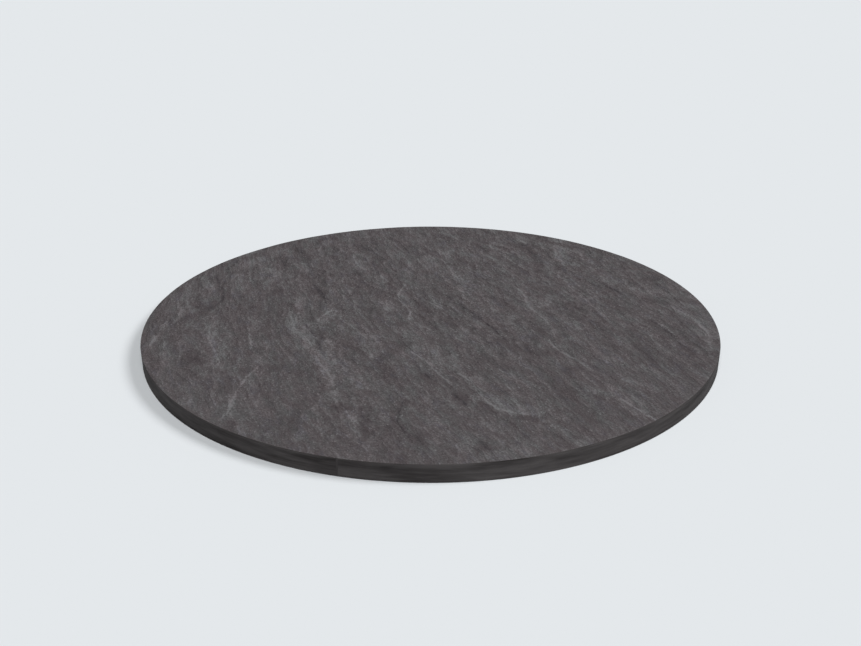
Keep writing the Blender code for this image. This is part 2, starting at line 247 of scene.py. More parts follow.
# The streaks' tones, half widths and lines, by quarters of the face.
STREAKS = tuple(Streak(tone, half_width, line) for tone, half_width, *line in (
    # far left
    (0.9, 4, (-213, 240), (-207, 216)), (0.9, 6, (-262, 233), (-274, 213)),
    (0.9, 9, (-246, 200), (-261, 178)), (0.9, 8, (-104, 190), (-94, 163)),
    (0.6, 6, (-189, 183), (-179, 177), (-177, 153)), (0.6, 6, (-211, 146), (-209, 122), (-222, 108)),
    (0.5, 7, (-230, 160), (-235, 126)), (0.6, 9, (-268, 133), (-262, 110), (-255, 86)),
    (0.7, 5, (-312, 128), (-303, 106), (-291, 84)), (0.5, 4, (-342, 64), (-329, 43)),
    (0.6, 6, (-314, 20), (-311, 4), (-298, 10)), (0.6, 8, (-174, 49), (-161, 30)),
    (0.7, 4, (-151, 60), (-147, 51)), (0.8, 5, (-69, 131), (-69, 108)), (0.7, 6, (-57, 40), (-51, 14)),
    (0.8, 5, (-19, 198), (-16, 186)), (0.9, 8, (-3, 208), (-2, 166)), (0.7, 7, (-9, 292), (-19, 278)),
    (0.5, 9, (-107, 328), (-102, 299)), (0.5, 5, (-124, 318), (-121, 308)),
    (0.4, 5, (-159, 282), (-156, 263)), (0.5, 6, (-181, 298), (-174, 292)),
    (0.5, 4, (-46, 238), (-45, 210)), (0.5, 4, (-34, 192), (-23, 158)),
    (0.6, 4, (-104, 88), (-107, 73)), (0.5, 6, (-132, 84), (-127, 77)),
    (-1.0, 7, (-216, 206), (-207, 181)), (-0.7, 4, (-204, 176), (-191, 162), (-174, 133), (-160, 110)),
    (-0.8, 5, (-191, 238), (-174, 201)), (-1.0, 7, (-273, 37), (-287, 6)),
    (-0.8, 7, (-300, 33), (-293, 23)), (-0.7, 5, (-335, 86), (-333, 77)),
    (-0.6, 6, (-79, 206), (-73, 201)), (-0.5, 5, (-152, 138), (-127, 135), (-94, 140)),
    (-0.7, 5, (-291, 134), (-298, 120)), (-0.6, 5, (-232, 112), (-232, 86)),
    (-0.5, 20, (-206, 66), (-204, 10)), (-0.8, 5, (-57, 100), (-48, 86)),
    (-0.9, 8, (-14, 34), (-3, 10)), (-0.7, 8, (-77, 16), (-72, 10)),
    (-0.7, 4, (-166, 288), (-168, 272)), (-0.5, 5, (-146, 292), (-140, 254)),
    (-0.5, 9, (-194, 270), (-194, 242)), (-0.6, 7, (-115, 268), (-99, 236)),
    (-0.6, 5, (-64, 306), (-61, 290)), (-0.5, 7, (-33, 262), (-33, 236)),
    # far right
    (0.9, 5, (96, 270), (93, 257), (98, 241)), (1.0, 6, (31, 238), (25, 226)),
    (0.9, 5, (44, 226), (45, 218)), (1.0, 8, (188, 258), (196, 242), (188, 222), (186, 203)),
    (0.8, 5, (191, 192), (205, 176)), (0.9, 6, (108, 229), (111, 224)), (0.5, 6, (80, 213), (90, 198)),
    (0.8, 7, (239, 129), (243, 106)), (1.0, 6, (273, 85), (286, 69)),
    (0.9, 6, (300, 90), (303, 76), (314, 60)), (0.8, 8, (322, 29), (333, 23)),
    (0.7, 4, (340, 56), (344, 46)), (0.6, 5, (51, 124), (43, 96)), (0.5, 5, (36, 136), (38, 118)),
    (0.6, 6, (19, 338), (26, 312)), (0.6, 5, (43, 342), (45, 334)), (1.0, 4, (94, 335), (97, 327)),
    (0.5, 7, (134, 308), (140, 284)), (0.6, 9, (190, 290), (198, 280)), (0.8, 4, (81, 21), (83, 14)),
    (0.6, 5, (4, 45), (11, 26)), (0.5, 6, (98, 162), (101, 154)), (0.5, 7, (155, 58), (143, 26)),
    (-1.0, 7, (130, 262), (144, 244), (150, 224)), (-0.9, 6, (155, 208), (154, 178), (152, 152)),
    (-0.7, 4, (26, 179), (36, 175), (46, 178)), (-0.9, 6, (69, 266), (74, 250)),
    (-0.9, 5, (47, 312), (54, 286)), (-0.6, 5, (28, 296), (29, 284)),
    (-0.6, 5, (102, 207), (120, 173), (131, 142)), (-0.7, 5, (163, 133), (178, 100), (189, 71)),
    (-0.9, 8, (149, 87), (159, 75)), (-0.5, 8, (142, 104), (139, 62)), (-0.7, 7, (235, 43), (247, 4)),
    (-0.8, 5, (174, 282), (178, 275), (214, 250)), (-0.6, 9, (157, 308), (174, 295)),
    (-0.6, 5, (273, 186), (276, 160)), (-0.7, 8, (322, 142), (302, 120)),
    (-0.8, 5, (33, 110), (33, 103)), (-0.7, 5, (7, 86), (13, 64), (24, 50)),
    (-0.7, 5, (76, 60), (95, 32)), (-0.7, 9, (178, 32), (184, -10)), (-0.6, 5, (178, 170), (180, 161)),
    (-0.6, 7, (278, 44), (302, 37)),
    # near left
    (1.0, 8, (-171, -4), (-168, -28), (-156, -56), (-148, -72), (-148, -95)),
    (1.0, 7, (-126, -3), (-134, -20), (-141, -32)), (0.7, 7, (-117, -77), (-123, -112)),
    (1.0, 9, (-124, -130), (-115, -136)), (1.0, 5, (-116, -157), (-108, -175)),
    (1.0, 7, (-104, -211), (-102, -223)), (0.7, 6, (-92, -139), (-90, -150)),
    (0.6, 4, (-83, -174), (-73, -186), (-82, -202)), (0.6, 5, (-80, -222), (-74, -236)),
    (1.0, 6, (-84, -253), (-80, -264)), (0.7, 5, (-45, -255), (-48, -272)),
    (0.6, 4, (-52, -292), (-56, -310)), (0.7, 7, (-263, -62), (-252, -92), (-241, -121)),
    (0.6, 4, (-223, -6), (-214, -28), (-216, -50)), (0.6, 5, (-197, -118), (-189, -140)),
    (0.9, 4, (-327, -68), (-329, -92)), (0.5, 6, (-325, -30), (-318, -43)),
    (0.5, 7, (-260, -200), (-252, -232)), (0.5, 5, (-246, -142), (-230, -152)),
    (0.6, 6, (-186, -284), (-172, -296)), (0.6, 4, (-125, -292), (-129, -306)),
    (0.4, 10, (-84, -62), (-72, -74), (-66, -118)), (0.5, 5, (-38, -52), (-22, -78)),
    (0.7, 6, (-17, -95), (-23, -112)), (0.5, 6, (-112, -32), (-108, -46)),
    (-1.0, 6, (-262, -131), (-256, -138)), (-0.8, 7, (-274, -108), (-273, -134)),
    (-0.8, 6, (-222, -176), (-218, -206)), (-0.8, 4, (-206, -106), (-207, -114)),
    (-0.8, 4, (-205, -154), (-203, -162)), (-0.6, 8, (-197, -26), (-199, -52), (-190, -72)),
    (-0.8, 5, (-134, -228), (-135, -252), (-137, -286)), (-0.9, 5, (-53, -149), (-49, -170)),
    (-0.7, 6, (-27, -86), (-38, -103), (-57, -128)), (-0.8, 4, (-65, -258), (-64, -304)),
    (-0.8, 7, (-14, -298), (-11, -310)), (-0.9, 5, (-28, -336), (-27, -345)),
    (-0.6, 4, (-101, -238), (-82, -241)), (-0.7, 4, (-131, -62), (-129, -72)),
    (-0.7, 4, (-146, -10), (-143, -21)), (-0.6, 9, (-180, -152), (-162, -150), (-138, -168)),
    (-0.7, 6, (-299, -2), (-308, -26)), (-0.7, 6, (-200, -274), (-197, -284)),
    (-0.6, 4, (-42, -30), (-26, -26)), (-0.6, 4, (-100, -84), (-77, -113)),
    (-0.8, 6, (-8, -168), (2, -180)),
    # near right
    (1.2, 6, (309, 17), (320, -2), (330, -20), (336, -44), (339, -70)),
    (0.9, 4, (326, -78), (324, -104)), (0.7, 6, (317, -50), (321, -62)), (1.0, 4, (101, -8), (97, -28)),
    (1.0, 4, (41, -46), (41, -66)), (0.8, 5, (150, -52), (145, -68)), (0.9, 4, (180, -26), (180, -46)),
    (0.7, 6, (172, -64), (164, -78)), (0.8, 4, (219, -70), (222, -88)),
    (0.5, 6, (184, -138), (202, -129)), (0.7, 6, (212, -222), (230, -248)),
    (0.7, 6, (168, -202), (174, -206)), (0.6, 5, (236, -144), (251, -174), (260, -214)),
    (0.5, 6, (212, -180), (240, -205)), (0.7, 4, (286, -150), (297, -178)),
    (0.5, 5, (237, -6), (248, -27)), (1.0, 9, (76, -224), (82, -243), (108, -249)),
    (0.8, 4, (50, -212), (42, -238)), (1.0, 5, (5, -264), (9, -274)), (0.7, 5, (52, -274), (58, -283)),
    (0.9, 7, (36, -306), (33, -322)), (0.7, 8, (100, -310), (80, -330), (50, -337)),
    (0.8, 6, (144, -312), (153, -306)), (0.5, 7, (112, -274), (136, -292)),
    (0.8, 6, (24, -122), (31, -142)), (0.7, 6, (5, -108), (9, -140)), (0.6, 6, (49, -174), (55, -184)),
    (0.4, 8, (80, -162), (100, -194)), (0.6, 5, (58, -20), (62, -34)), (-1.0, 6, (12, -22), (28, -36)),
    (-1.0, 7, (84, -74), (87, -98)), (-0.9, 5, (134, -46), (134, -56), (124, -74)),
    (-0.6, 7, (100, -96), (124, -112), (144, -112)), (-0.7, 8, (58, -122), (86, -152)),
    (-0.6, 8, (134, -186), (148, -230), (160, -268)), (-0.9, 4, (174, -216), (177, -222)),
    (-0.8, 5, (194, -250), (198, -260)), (-1.0, 5, (26, -214), (33, -230)),
    (-0.9, 5, (52, -232), (60, -249)), (-1.0, 4, (91, -262), (105, -267)),
    (-0.9, 4, (48, -312), (53, -320)), (-0.9, 4, (239, -52), (240, -60)),
    (-0.6, 6, (202, -26), (212, -66), (209, -90)), (-1.0, 6, (270, -24), (281, -68)),
    (-0.8, 5, (240, -88), (250, -122), (251, -144)), (-0.8, 5, (292, -90), (299, -118)),
    (-0.6, 5, (290, -150), (312, -140)), (-0.6, 7, (150, -160), (168, -148)),
))

SEAMS = (
    Seam("far vein", Edge.PALE, 0.8, ((34, 98), (41, 78), (44, 58), (55, 30))),
    Seam("right dash", Edge.PALE, 0.8, ((75, -150), (82, -165))),
    Seam("right dash foot", Edge.PALE, 0.7, ((80, -190), (84, -202))),
    Seam("centre cleft", Edge.DARK, 0.8, ((65, -52), (80, -82))),
    Seam("hook dash", Edge.PALE, 0.8, ((-118, 15), (-122, -5))),
    Seam("lilac dash", Edge.PALE, 0.7, ((-20, 205), (-15, 185))),
    Seam("lilac dash end", Edge.PALE, 0.7, ((-10, 215), (-3, 195))),
    Seam("right vein", Edge.PALE, 0.8, ((260, -55), (266, -95), (270, -110))),
    Seam("right flank vein", Edge.PALE, 1.1, ((280, -25), (288, -50), (292, -75), (300, -100))),
    Seam("left rim dash", Edge.PALE, 1.1, ((-326, -65), (-326, -95))),
    Seam("centre dash", Edge.PALE, 0.8, ((100, -5), (98, -20))),
    Seam("far left cleft", Edge.DARK, 0.8, ((-83, 184), (-75, 152))),
    Seam("near left dash", Edge.PALE, 0.8, ((-83, -252), (-73, -275))),
    Seam("near right rim vein", Edge.PALE, 1.5, (
        (193, -204), (201, -228), (213, -250), (227, -270), (243, -292))),
    Seam("far left diagonal", Edge.DARK, 1.0, ((-158, 98), (-140, 60), (-125, 38), (-104, 8))),
    Seam("middle left cleft", Edge.DARK, 1.2, ((-161, -14), (-151, -35), (-136, -70), (-125, -112))),
    Seam("far fold line", Edge.DARK, 0.8, ((-135, 231), (-115, 198))),
    Seam("flow line", Edge.PALE, 1.2, ((-3, 42), (8, 28), (18, 14))),
)


def add_object(name: str, data: bpy.types.ID) -> bpy.types.Object:
    """Adds an object to the scene.

    Args:
        name: the object's name.
        data: its mesh, lamp or camera.

    Returns:
        The object.
    """
    made = bpy.data.objects.new(name, data)
    bpy.context.scene.collection.objects.link(made)
    return made


def smooth_step(value: Array) -> Array:
    """Returns 3t^2 - 2t^3 of the value held between 0 and 1."""
    t = np.clip(value, 0.0, 1.0)
    return t * t * (3.0 - 2.0 * t)


def lattice_value(column: Array, row: Array, seed: int) -> Array:
    """Gives every lattice point a fixed value, by a hash whose bits are folded together twice.

    Args:
        column: whole lattice columns.
        row: whole lattice rows.
        seed: which set of values to take.

    Returns:
        Values from 0 to 1.
    """
    word = 0xFFFFFFFF
    mixed = (column * 374761393 + row * 668265263 + seed * 982451653) & word
    mixed = ((mixed ^ (mixed >> 13)) * 1274126177) & word
    mixed = ((mixed ^ (mixed >> 16)) * 668265263) & word
    return (mixed ^ (mixed >> 15)) / float(word)


def lattice_noise(place: Array, seed: int) -> Array:
    """Makes smooth noise with one swell per unit.

    Each lattice corner has a random direction, the corner's height is the dot product of that
    direction with the way from the corner, and 6t^5 - 15t^4 + 10t^3 blends the four corners.

    Args:
        place: points of the lattice's plane, as complex numbers.
        seed: which noise to take.

    Returns:
        The noise at each point, from -1 to 1.
    """
    left, low = np.floor(place.real).astype(np.int64), np.floor(place.imag).astype(np.int64)
    inside = place - (left + 1j * low)
    over, up = (t ** 3 * (t * (t * 6.0 - 15.0) + 10.0) for t in (inside.real, inside.imag))
    corners = []
    for corner in (0, 1, 1j, 1 + 1j):
        column, row = int(corner.real), int(corner.imag)
        turn = 2.0 * math.pi * lattice_value(left + column, low + row, seed)
        corners.append(((inside - corner) * np.exp(-1j * turn)).real)
    lower = corners[0] + (corners[1] - corners[0]) * over
    upper = corners[2] + (corners[3] - corners[2]) * over
    return 1.5 * (lower + (upper - lower) * up)


@dataclass(frozen=True)
class Waves:
    """A noise: lattice noises, each half as long and gain times as high as the one before.

    right_length and far_length are the lengths of the longest swell along both axes.
    """

    right_length: float
    far_length: float
    seed: int
    octaves: int
    gain: float

    def read(self, place: Array) -> Array:
        """Adds the lattice noises up.

        Args:
            place: where the noise is read, as complex numbers.

        Returns:
            The noise at each place, with a spread of about 1.
        """
        place = place.real / self.right_length + 1j * place.imag / self.far_length
        total, power = np.zeros(place.shape), 0.0
        for octave in range(self.octaves):
            total += self.gain ** octave * lattice_noise(place * 2.0 ** octave, self.seed + octave)
            power += self.gain ** (2 * octave)
        return total / math.sqrt(power)


@dataclass(frozen=True)
class Reading:
    """How the plan points near a line lie to it.

    near holds the points' numbers, signed their distance, over 0 to the right of the line,
    share their place along it from 0 to 1, and foot the nearest points of the line.
    """

    near: Array
    signed: Array
    share: Array
    foot: Array

    def ends(self, tail: float) -> Array:
        """Returns 1 along the line, easing to 0 over the tail's share at both ends."""
        return smooth_step(np.minimum(self.share, 1.0 - self.share) / tail)


class FaceLine:
    """A smooth line over the face."""

    spacing = 0.002
    stray = 0.0012
    stray_waves = Waves(0.022, 0.022, 57, 3, 0.6)

    def __init__(self, knots: Line) -> None:
        """Draws a Catmull-Rom curve through the knots and lets it stray from side to side.

        Args:
            knots: plan points in millimetres.
        """
        points = MM * np.array([complex(*knot) for knot in knots])
        before_first, after_last = 2.0 * points[0] - points[1], 2.0 * points[-1] - points[-2]
        padded = np.concatenate(([before_first], points, [after_last]))
        pieces = []
        for before, start, end, after in zip(padded, padded[1:], padded[2:], padded[3:]):
            count = max(1, round(abs(end - start) / self.spacing))
            t = np.arange(count) / count
            pieces.append(0.5 * (
                2.0 * start
                + (end - before) * t
                + (2.0 * before - 5.0 * start + 4.0 * end - after) * t ** 2
                + (3.0 * start - before - 3.0 * end + after) * t ** 3))
        path = np.concatenate((*pieces, points[-1:]))
        run = np.gradient(path)
        self.path = path + 1j * self.stray * self.stray_waves.read(path) * run / np.abs(run)

    def read(self, plan: Array, reach: float) -> Reading:
        """Finds the nearest point of the line for the plan points round it.

        Args:
            plan: plan points.
            reach: how far the box that they are taken from stands out past the line.

        Returns:
            How the points in the box lie to the line.
        """
        right, far = self.path.real, self.path.imag
        near = np.flatnonzero(
            (plan.real > right.min() - reach) & (plan.real < right.max() + reach)
            & (plan.imag > far.min() - reach) & (plan.imag < far.max() + reach))
        lengths = np.abs(np.diff(self.path))
        walked = np.concatenate(([0.0], np.cumsum(lengths)))
        signed, share = np.full(near.shape, np.inf), np.zeros(near.shape)
        foot = np.zeros(near.shape, complex)
        for start, end, length, before in zip(self.path, self.path[1:], lengths, walked):
            along = (end - start) / length
            way = (plan[near] - start) * np.conj(along)
            forth = np.clip(way.real, 0.0, length)
            gap = np.abs(way - forth)
            closer = gap < np.abs(signed)
            signed = np.where(closer, np.where(way.imag >= 0.0, gap, -gap), signed)
            share = np.where(closer, (before + forth) / walked[-1], share)
            foot = np.where(closer, start + along * forth, foot)
        return Reading(near, signed, share, foot)


@dataclass(frozen=True)
class GrainField:
    """The run of the slate's grain over the face.

    The grain leans at one angle, turns a little towards the far side and towards both flanks,
    and wanders sideways by a slow noise.
    """

    angle: float = math.radians(-71.0)
    far_turn: float = math.radians(-10.0)
    flank_turn: float = math.radians(-48.0)
    wander: float = 0.0045
    wander_waves: Waves = Waves(0.090, 0.090, 41, 3, 0.5)

    def read(self, plan: Array) -> Array:
        """Reads the grain.

        Args:
            plan: plan points.

        Returns:
            Metres across the grain + i metres along it, towards the viewer.
        """
        turn = self.angle + self.far_turn * plan.imag + self.flank_turn * plan.real ** 2
        turned = plan * np.exp(-1j * turn)
        return turned.imag + self.wander * self.wander_waves.read(plan) + 1j * turned.real


@dataclass(frozen=True)
class RivenFace:
    """The riven face's relief and markings over the plan.

    The sizes down to rim_fade are those of the solid.  After them come the fine plates and the
    wear that it leaves out, the look of the marks with the light and shade painted beside the
    ledges, and how the mesh is drawn to the ledges.  A tail is a share of a line's length, and a
    lift keeps a noise over 0.
    """

    radius: float
    thickness: float
    deepest_scar: float = 0.0024
    ledge_tail: float = 0.28
    pit_steepness: float = 1.5
    swell_height: float = 0.00030
    swell_angle: float = math.radians(-67.0)
    rim_relief_share: float = 0.30
    rim_fade: float = 0.045
    grain: GrainField = GrainField()
    plate_waves: Waves = Waves(0.024, 0.100, 11, 4, 0.55)
    plate_lift: float = 2.2
    plate_levels: float = 2.4
    plate_flat_share: float = 0.70
    level_drop: float = 0.00006
    ripple_waves: Waves = Waves(0.0075, 0.026, 23, 2, 0.6)
    ripple_lift: float = 1.2
    ripple_height: float = 0.00010
    wear_waves: Waves = Waves(0.018, 0.018, 83, 2, 0.5)
    wear_share: float = 0.35
    least_drop_share: float = 0.15
    scar_reach: float = 5.0
    # ledge_shade_reach and unlit_share set the light and shade painted beside each ledge.
    ledge_shade_reach: float = 0.30
    unlit_share: float = 0.3
    dark_share: float = 0.85
    streak_core: float = 0.4
    streak_edge: float = 1.6
    line_tail: float = 0.12
    line_core: float = 0.0050
    line_edge: float = 0.0080
    line_reach: float = 0.010
    far_from_lines: float = 0.05
    darkest_plate: float = -1.0
    palest_plate: float = 1.3
    draw_tail: float = 0.08
    draw_fade: float = 0.012
    draw_reach: float = 0.0065
    crest_offset: float = 0.00036
    plate_offset: float = 0.00075

    def draw_to_ledges(self, plan: Array, cell: float) -> Array:
        """Draws plan points together along the ledges, without letting rows cross.

        A point at distance s from a line moves to crest_offset + (plate_offset - crest_offset)
        * s / cell while s is under one cell, and from there evenly out to draw_reach, where
        nothing moves.  The pull fades at both ends of the line and at the rim.

        Args:
            plan: plan points.
            cell: distance between neighbouring points.

        Returns:
            The moved points.
        """
        plan = plan.copy()
        stretch = (self.draw_reach - self.plate_offset) / (self.draw_reach - cell)
        for ledge in LEDGES:
            reading = FaceLine(ledge.line).read(plan, self.draw_reach)
            gap, old = np.abs(reading.signed), plan[reading.near]
            inner = self.crest_offset + (self.plate_offset - self.crest_offset) * gap / cell
            outer = self.draw_reach + (gap - self.draw_reach) * stretch
            target = np.where(gap < cell, inner, np.where(gap < self.draw_reach, outer, gap))
            fade = smooth_step((self.radius - np.abs(old)) / self.draw_fade)
            move = target / np.maximum(gap, 1e-7) - 1.0
            plan[reading.near] += reading.ends(self.draw_tail) * fade * move * (old - reading.foot)
        return plan

    def swell(self, plan: Array) -> Array:
        """Makes the broad low waves of the split, as in the solid.

        Two waves across the grain, 31 and 17 mm to the radian, are each bent by a slower wave
        along it, and a third runs slantwise.

        Args:
            plan: plan points.

        Returns:
            Their depth.
        """
        turned = plan * np.exp(-1j * self.swell_angle)
        along, across = turned.real, turned.imag
        return self.swell_height * (
            np.sin(across / 0.031 + 0.8 * np.sin(along / 0.090))
            + 0.7 * np.sin(across / 0.017 + 1.3 * np.sin(along / 0.060 + 1.0) + 2.0)
            + 0.8 * np.sin(along / 0.075 + across / 0.110 + 0.6))

    def fine_plates(self, plan: Array) -> Array:
        """Makes the thin plates between the ledges.

        A noise that is four times longer with the grain than across it is cut into levels:
        each level is flat for seven tenths of its width and then falls to the next.  Finer
        ripples of the same grain lie over it.

        Args:
            plan: plan points.

        Returns:
            Their depth, never under 0.
        """
        grain = self.grain.read(plan)
        levels = (self.plate_waves.read(grain) + self.plate_lift) * self.plate_levels
        fall = (levels % 1.0 - self.plate_flat_share) / (1.0 - self.plate_flat_share)
        plates = np.floor(levels) + smooth_step(fall)
        ripples = self.ripple_waves.read(grain) + self.ripple_lift
        return np.maximum(self.level_drop * plates + self.ripple_height * ripples, 0.0)

    def ledge_steps(self, plan: Array) -> tuple[Array, Array]:
        """Cuts the ledges.

        A ledge's depth is drop * taper * step * exp(-distance / run_out), as in the solid, and
        its taper also follows a noise, because a broken edge is worn in places.

        Args:
            plan: plan points.

        Returns:
            The depth that the ledges cut, and the light and shade painted beside them: pale
            along a pale edge, whose step mostly faces the lamp at the right, dark along a dark one.
        """
        depth, tone = np.zeros(plan.shape), np.zeros(plan.shape)
        for ledge in LEDGES:
            run_out = MM * ledge.run_out
            reading = FaceLine(ledge.line).read(plan, self.scar_reach * run_out)
            below = reading.signed * ledge.low_side.value
            step = np.clip(below / (2.0 * self.crest_offset) + 0.5, 0.0, 1.0)
            worn = 1.0 - self.wear_share * (1.0 - self.wear_waves.read(plan[reading.near]))
            taper = reading.ends(self.ledge_tail) * np.clip(worn, self.least_drop_share, 1.0)
            fade = np.exp(-np.maximum(below, 0.0) / run_out)
            depth[reading.near] += MM * ledge.drop * taper * step * fade
            # Painted light and shade: a pale edge is a painted highlight, a dark edge painted shade, full
            # on the lower side.
            lit = step if ledge.low_side.value == ledge.edge.value else 1.0 - step
            fade = np.exp(-np.abs(reading.signed) / (self.ledge_shade_reach * run_out))
            strength = ledge.edge.value * ledge.boldness * taper
            tone[reading.near] += strength * fade * (lit + self.unlit_share * (1.0 - lit))
        return depth, tone

    def streak_tone(self, plan: Array) -> Array:
        """Lays down the placed streaks.

        A streak's tone is full up to streak_core half widths from its line and gone past
        streak_edge half widths.

        Args:
            plan: plan points.

        Returns:
            The tone of all streaks together.
        """
        tone = np.zeros(plan.shape)
        for streak in STREAKS:
            half_width = MM * streak.half_width
            reading = FaceLine(streak.line).read(plan, self.streak_edge * half_width)
            short = self.streak_edge - np.abs(reading.signed) / half_width
            share = smooth_step(short / (self.streak_edge - self.streak_core))
            tone[reading.near] += streak.tone * share
        return np.where(tone < 0.0, self.dark_share * tone, tone)

    def height(self, plan: Array) -> Array:
        """Adds up the relief of the riven face and lets it fade towards the rim.

        Args:
            plan: plan points.

        Returns:
            The face's height, which never passes the slab's thickness.
        """
        depth = self.swell(plan) + self.ledge_steps(plan)[0]
        for pit in PITS:
            gap = np.abs(plan / MM - complex(*pit.centre))
            depth += MM * pit.depth * smooth_step(self.pit_steepness * (1.0 - gap / pit.radius))
        depth = self.deepest_scar * np.tanh(np.maximum(depth, 0.0) / self.deepest_scar)
        share = smooth_step((self.radius - np.abs(plan)) / self.rim_fade)
        depth += self.fine_plates(plan) * share
        return self.thickness - depth * (self.rim_relief_share + (1.0 - self.rim_relief_share) * share)

    def markings(self, plan: Array) -> dict[str, Array]:
        """Works out what the stone's material reads from the mesh.

        Args:
            plan: plan points.

        Returns:
            line_distance, metres to the nearest ledge or seam with its side as sign;
            line_tone, how bold that line is, over 0 for pale and under 0 for dark, a painted
            highlight or painted shade on a ledge;
            plate_tone_and_ledge_shade, the soft tone of the plates with the light and shade painted
            beside the ledges.
        """
        distance, tone = np.full(plan.shape, self.far_from_lines), np.zeros(plan.shape)
        for mark in (*LEDGES, *SEAMS):
            reading = FaceLine(mark.line).read(plan, self.line_reach)
            near, gap = reading.near, np.abs(reading.signed)
            fade = smooth_step((self.line_edge - gap) / (self.line_edge - self.line_core))
            strength = mark.edge.value * mark.boldness * reading.ends(self.line_tail) * fade
            closer = gap < np.abs(distance[near])
            distance[near] = np.where(closer, reading.signed, distance[near])
            tone[near] = np.where(closer, strength, tone[near])
        plate_tone_and_ledge_shade = np.clip(
            self.ledge_steps(plan)[1] + self.streak_tone(plan), self.darkest_plate, self.palest_plate)
        return {"line_distance": distance, "line_tone": tone, "plate_tone_and_ledge_shade": plate_tone_and_ledge_shade}


@dataclass(frozen=True)
class DiscGrid:
    """A square grid laid over the unit disc, with so many cells a side, and turned."""

    cells: int
    turn: float

    def numbers(self) -> Array:
        """Returns the points' numbers, one row for each step of u."""
        return np.arange((self.cells + 1) ** 2).reshape(self.cells + 1, self.cells + 1)

    def plan(self) -> Array:
        """Lays the grid over the disc.

        A grid point (u, v) with |u| >= |v| goes to radius u at an angle of v / u eighths of a
        turn from the first axis, and otherwise to radius v, measured from the second axis.

        Returns:
            The points, row by row.
        """
        steps = np.linspace(-1.0, 1.0, self.cells + 1)
        u, v = np.meshgrid(steps, steps, indexing="ij")
        first = np.abs(u) >= np.abs(v)
        radius = np.where(first, u, v)
        safe = np.where(radius == 0.0, 1.0, radius)
        angle = 0.25 * math.pi * np.where(first, v / safe, 2.0 - u / safe)
        return (radius * np.exp(1j * (angle + self.turn))).ravel()

    def rim(self) -> Array:
        """Returns the numbers of the outer points, anticlockwise from u = 1, v = -1."""
        table = self.numbers()
        return np.concatenate((table[-1, :-1], table[:0:-1, -1], table[0, :0:-1], table[:-1, 0]))

    def faces(self) -> Array:
        """Lists the cells.

        Returns:
            The four corners of each cell, anticlockwise from above.
        """
        table = self.numbers()
        corners = (table[:-1, :-1], table[1:, :-1], table[1:, 1:], table[:-1, 1:])
        return np.stack(corners, axis=-1).reshape(-1, 4)


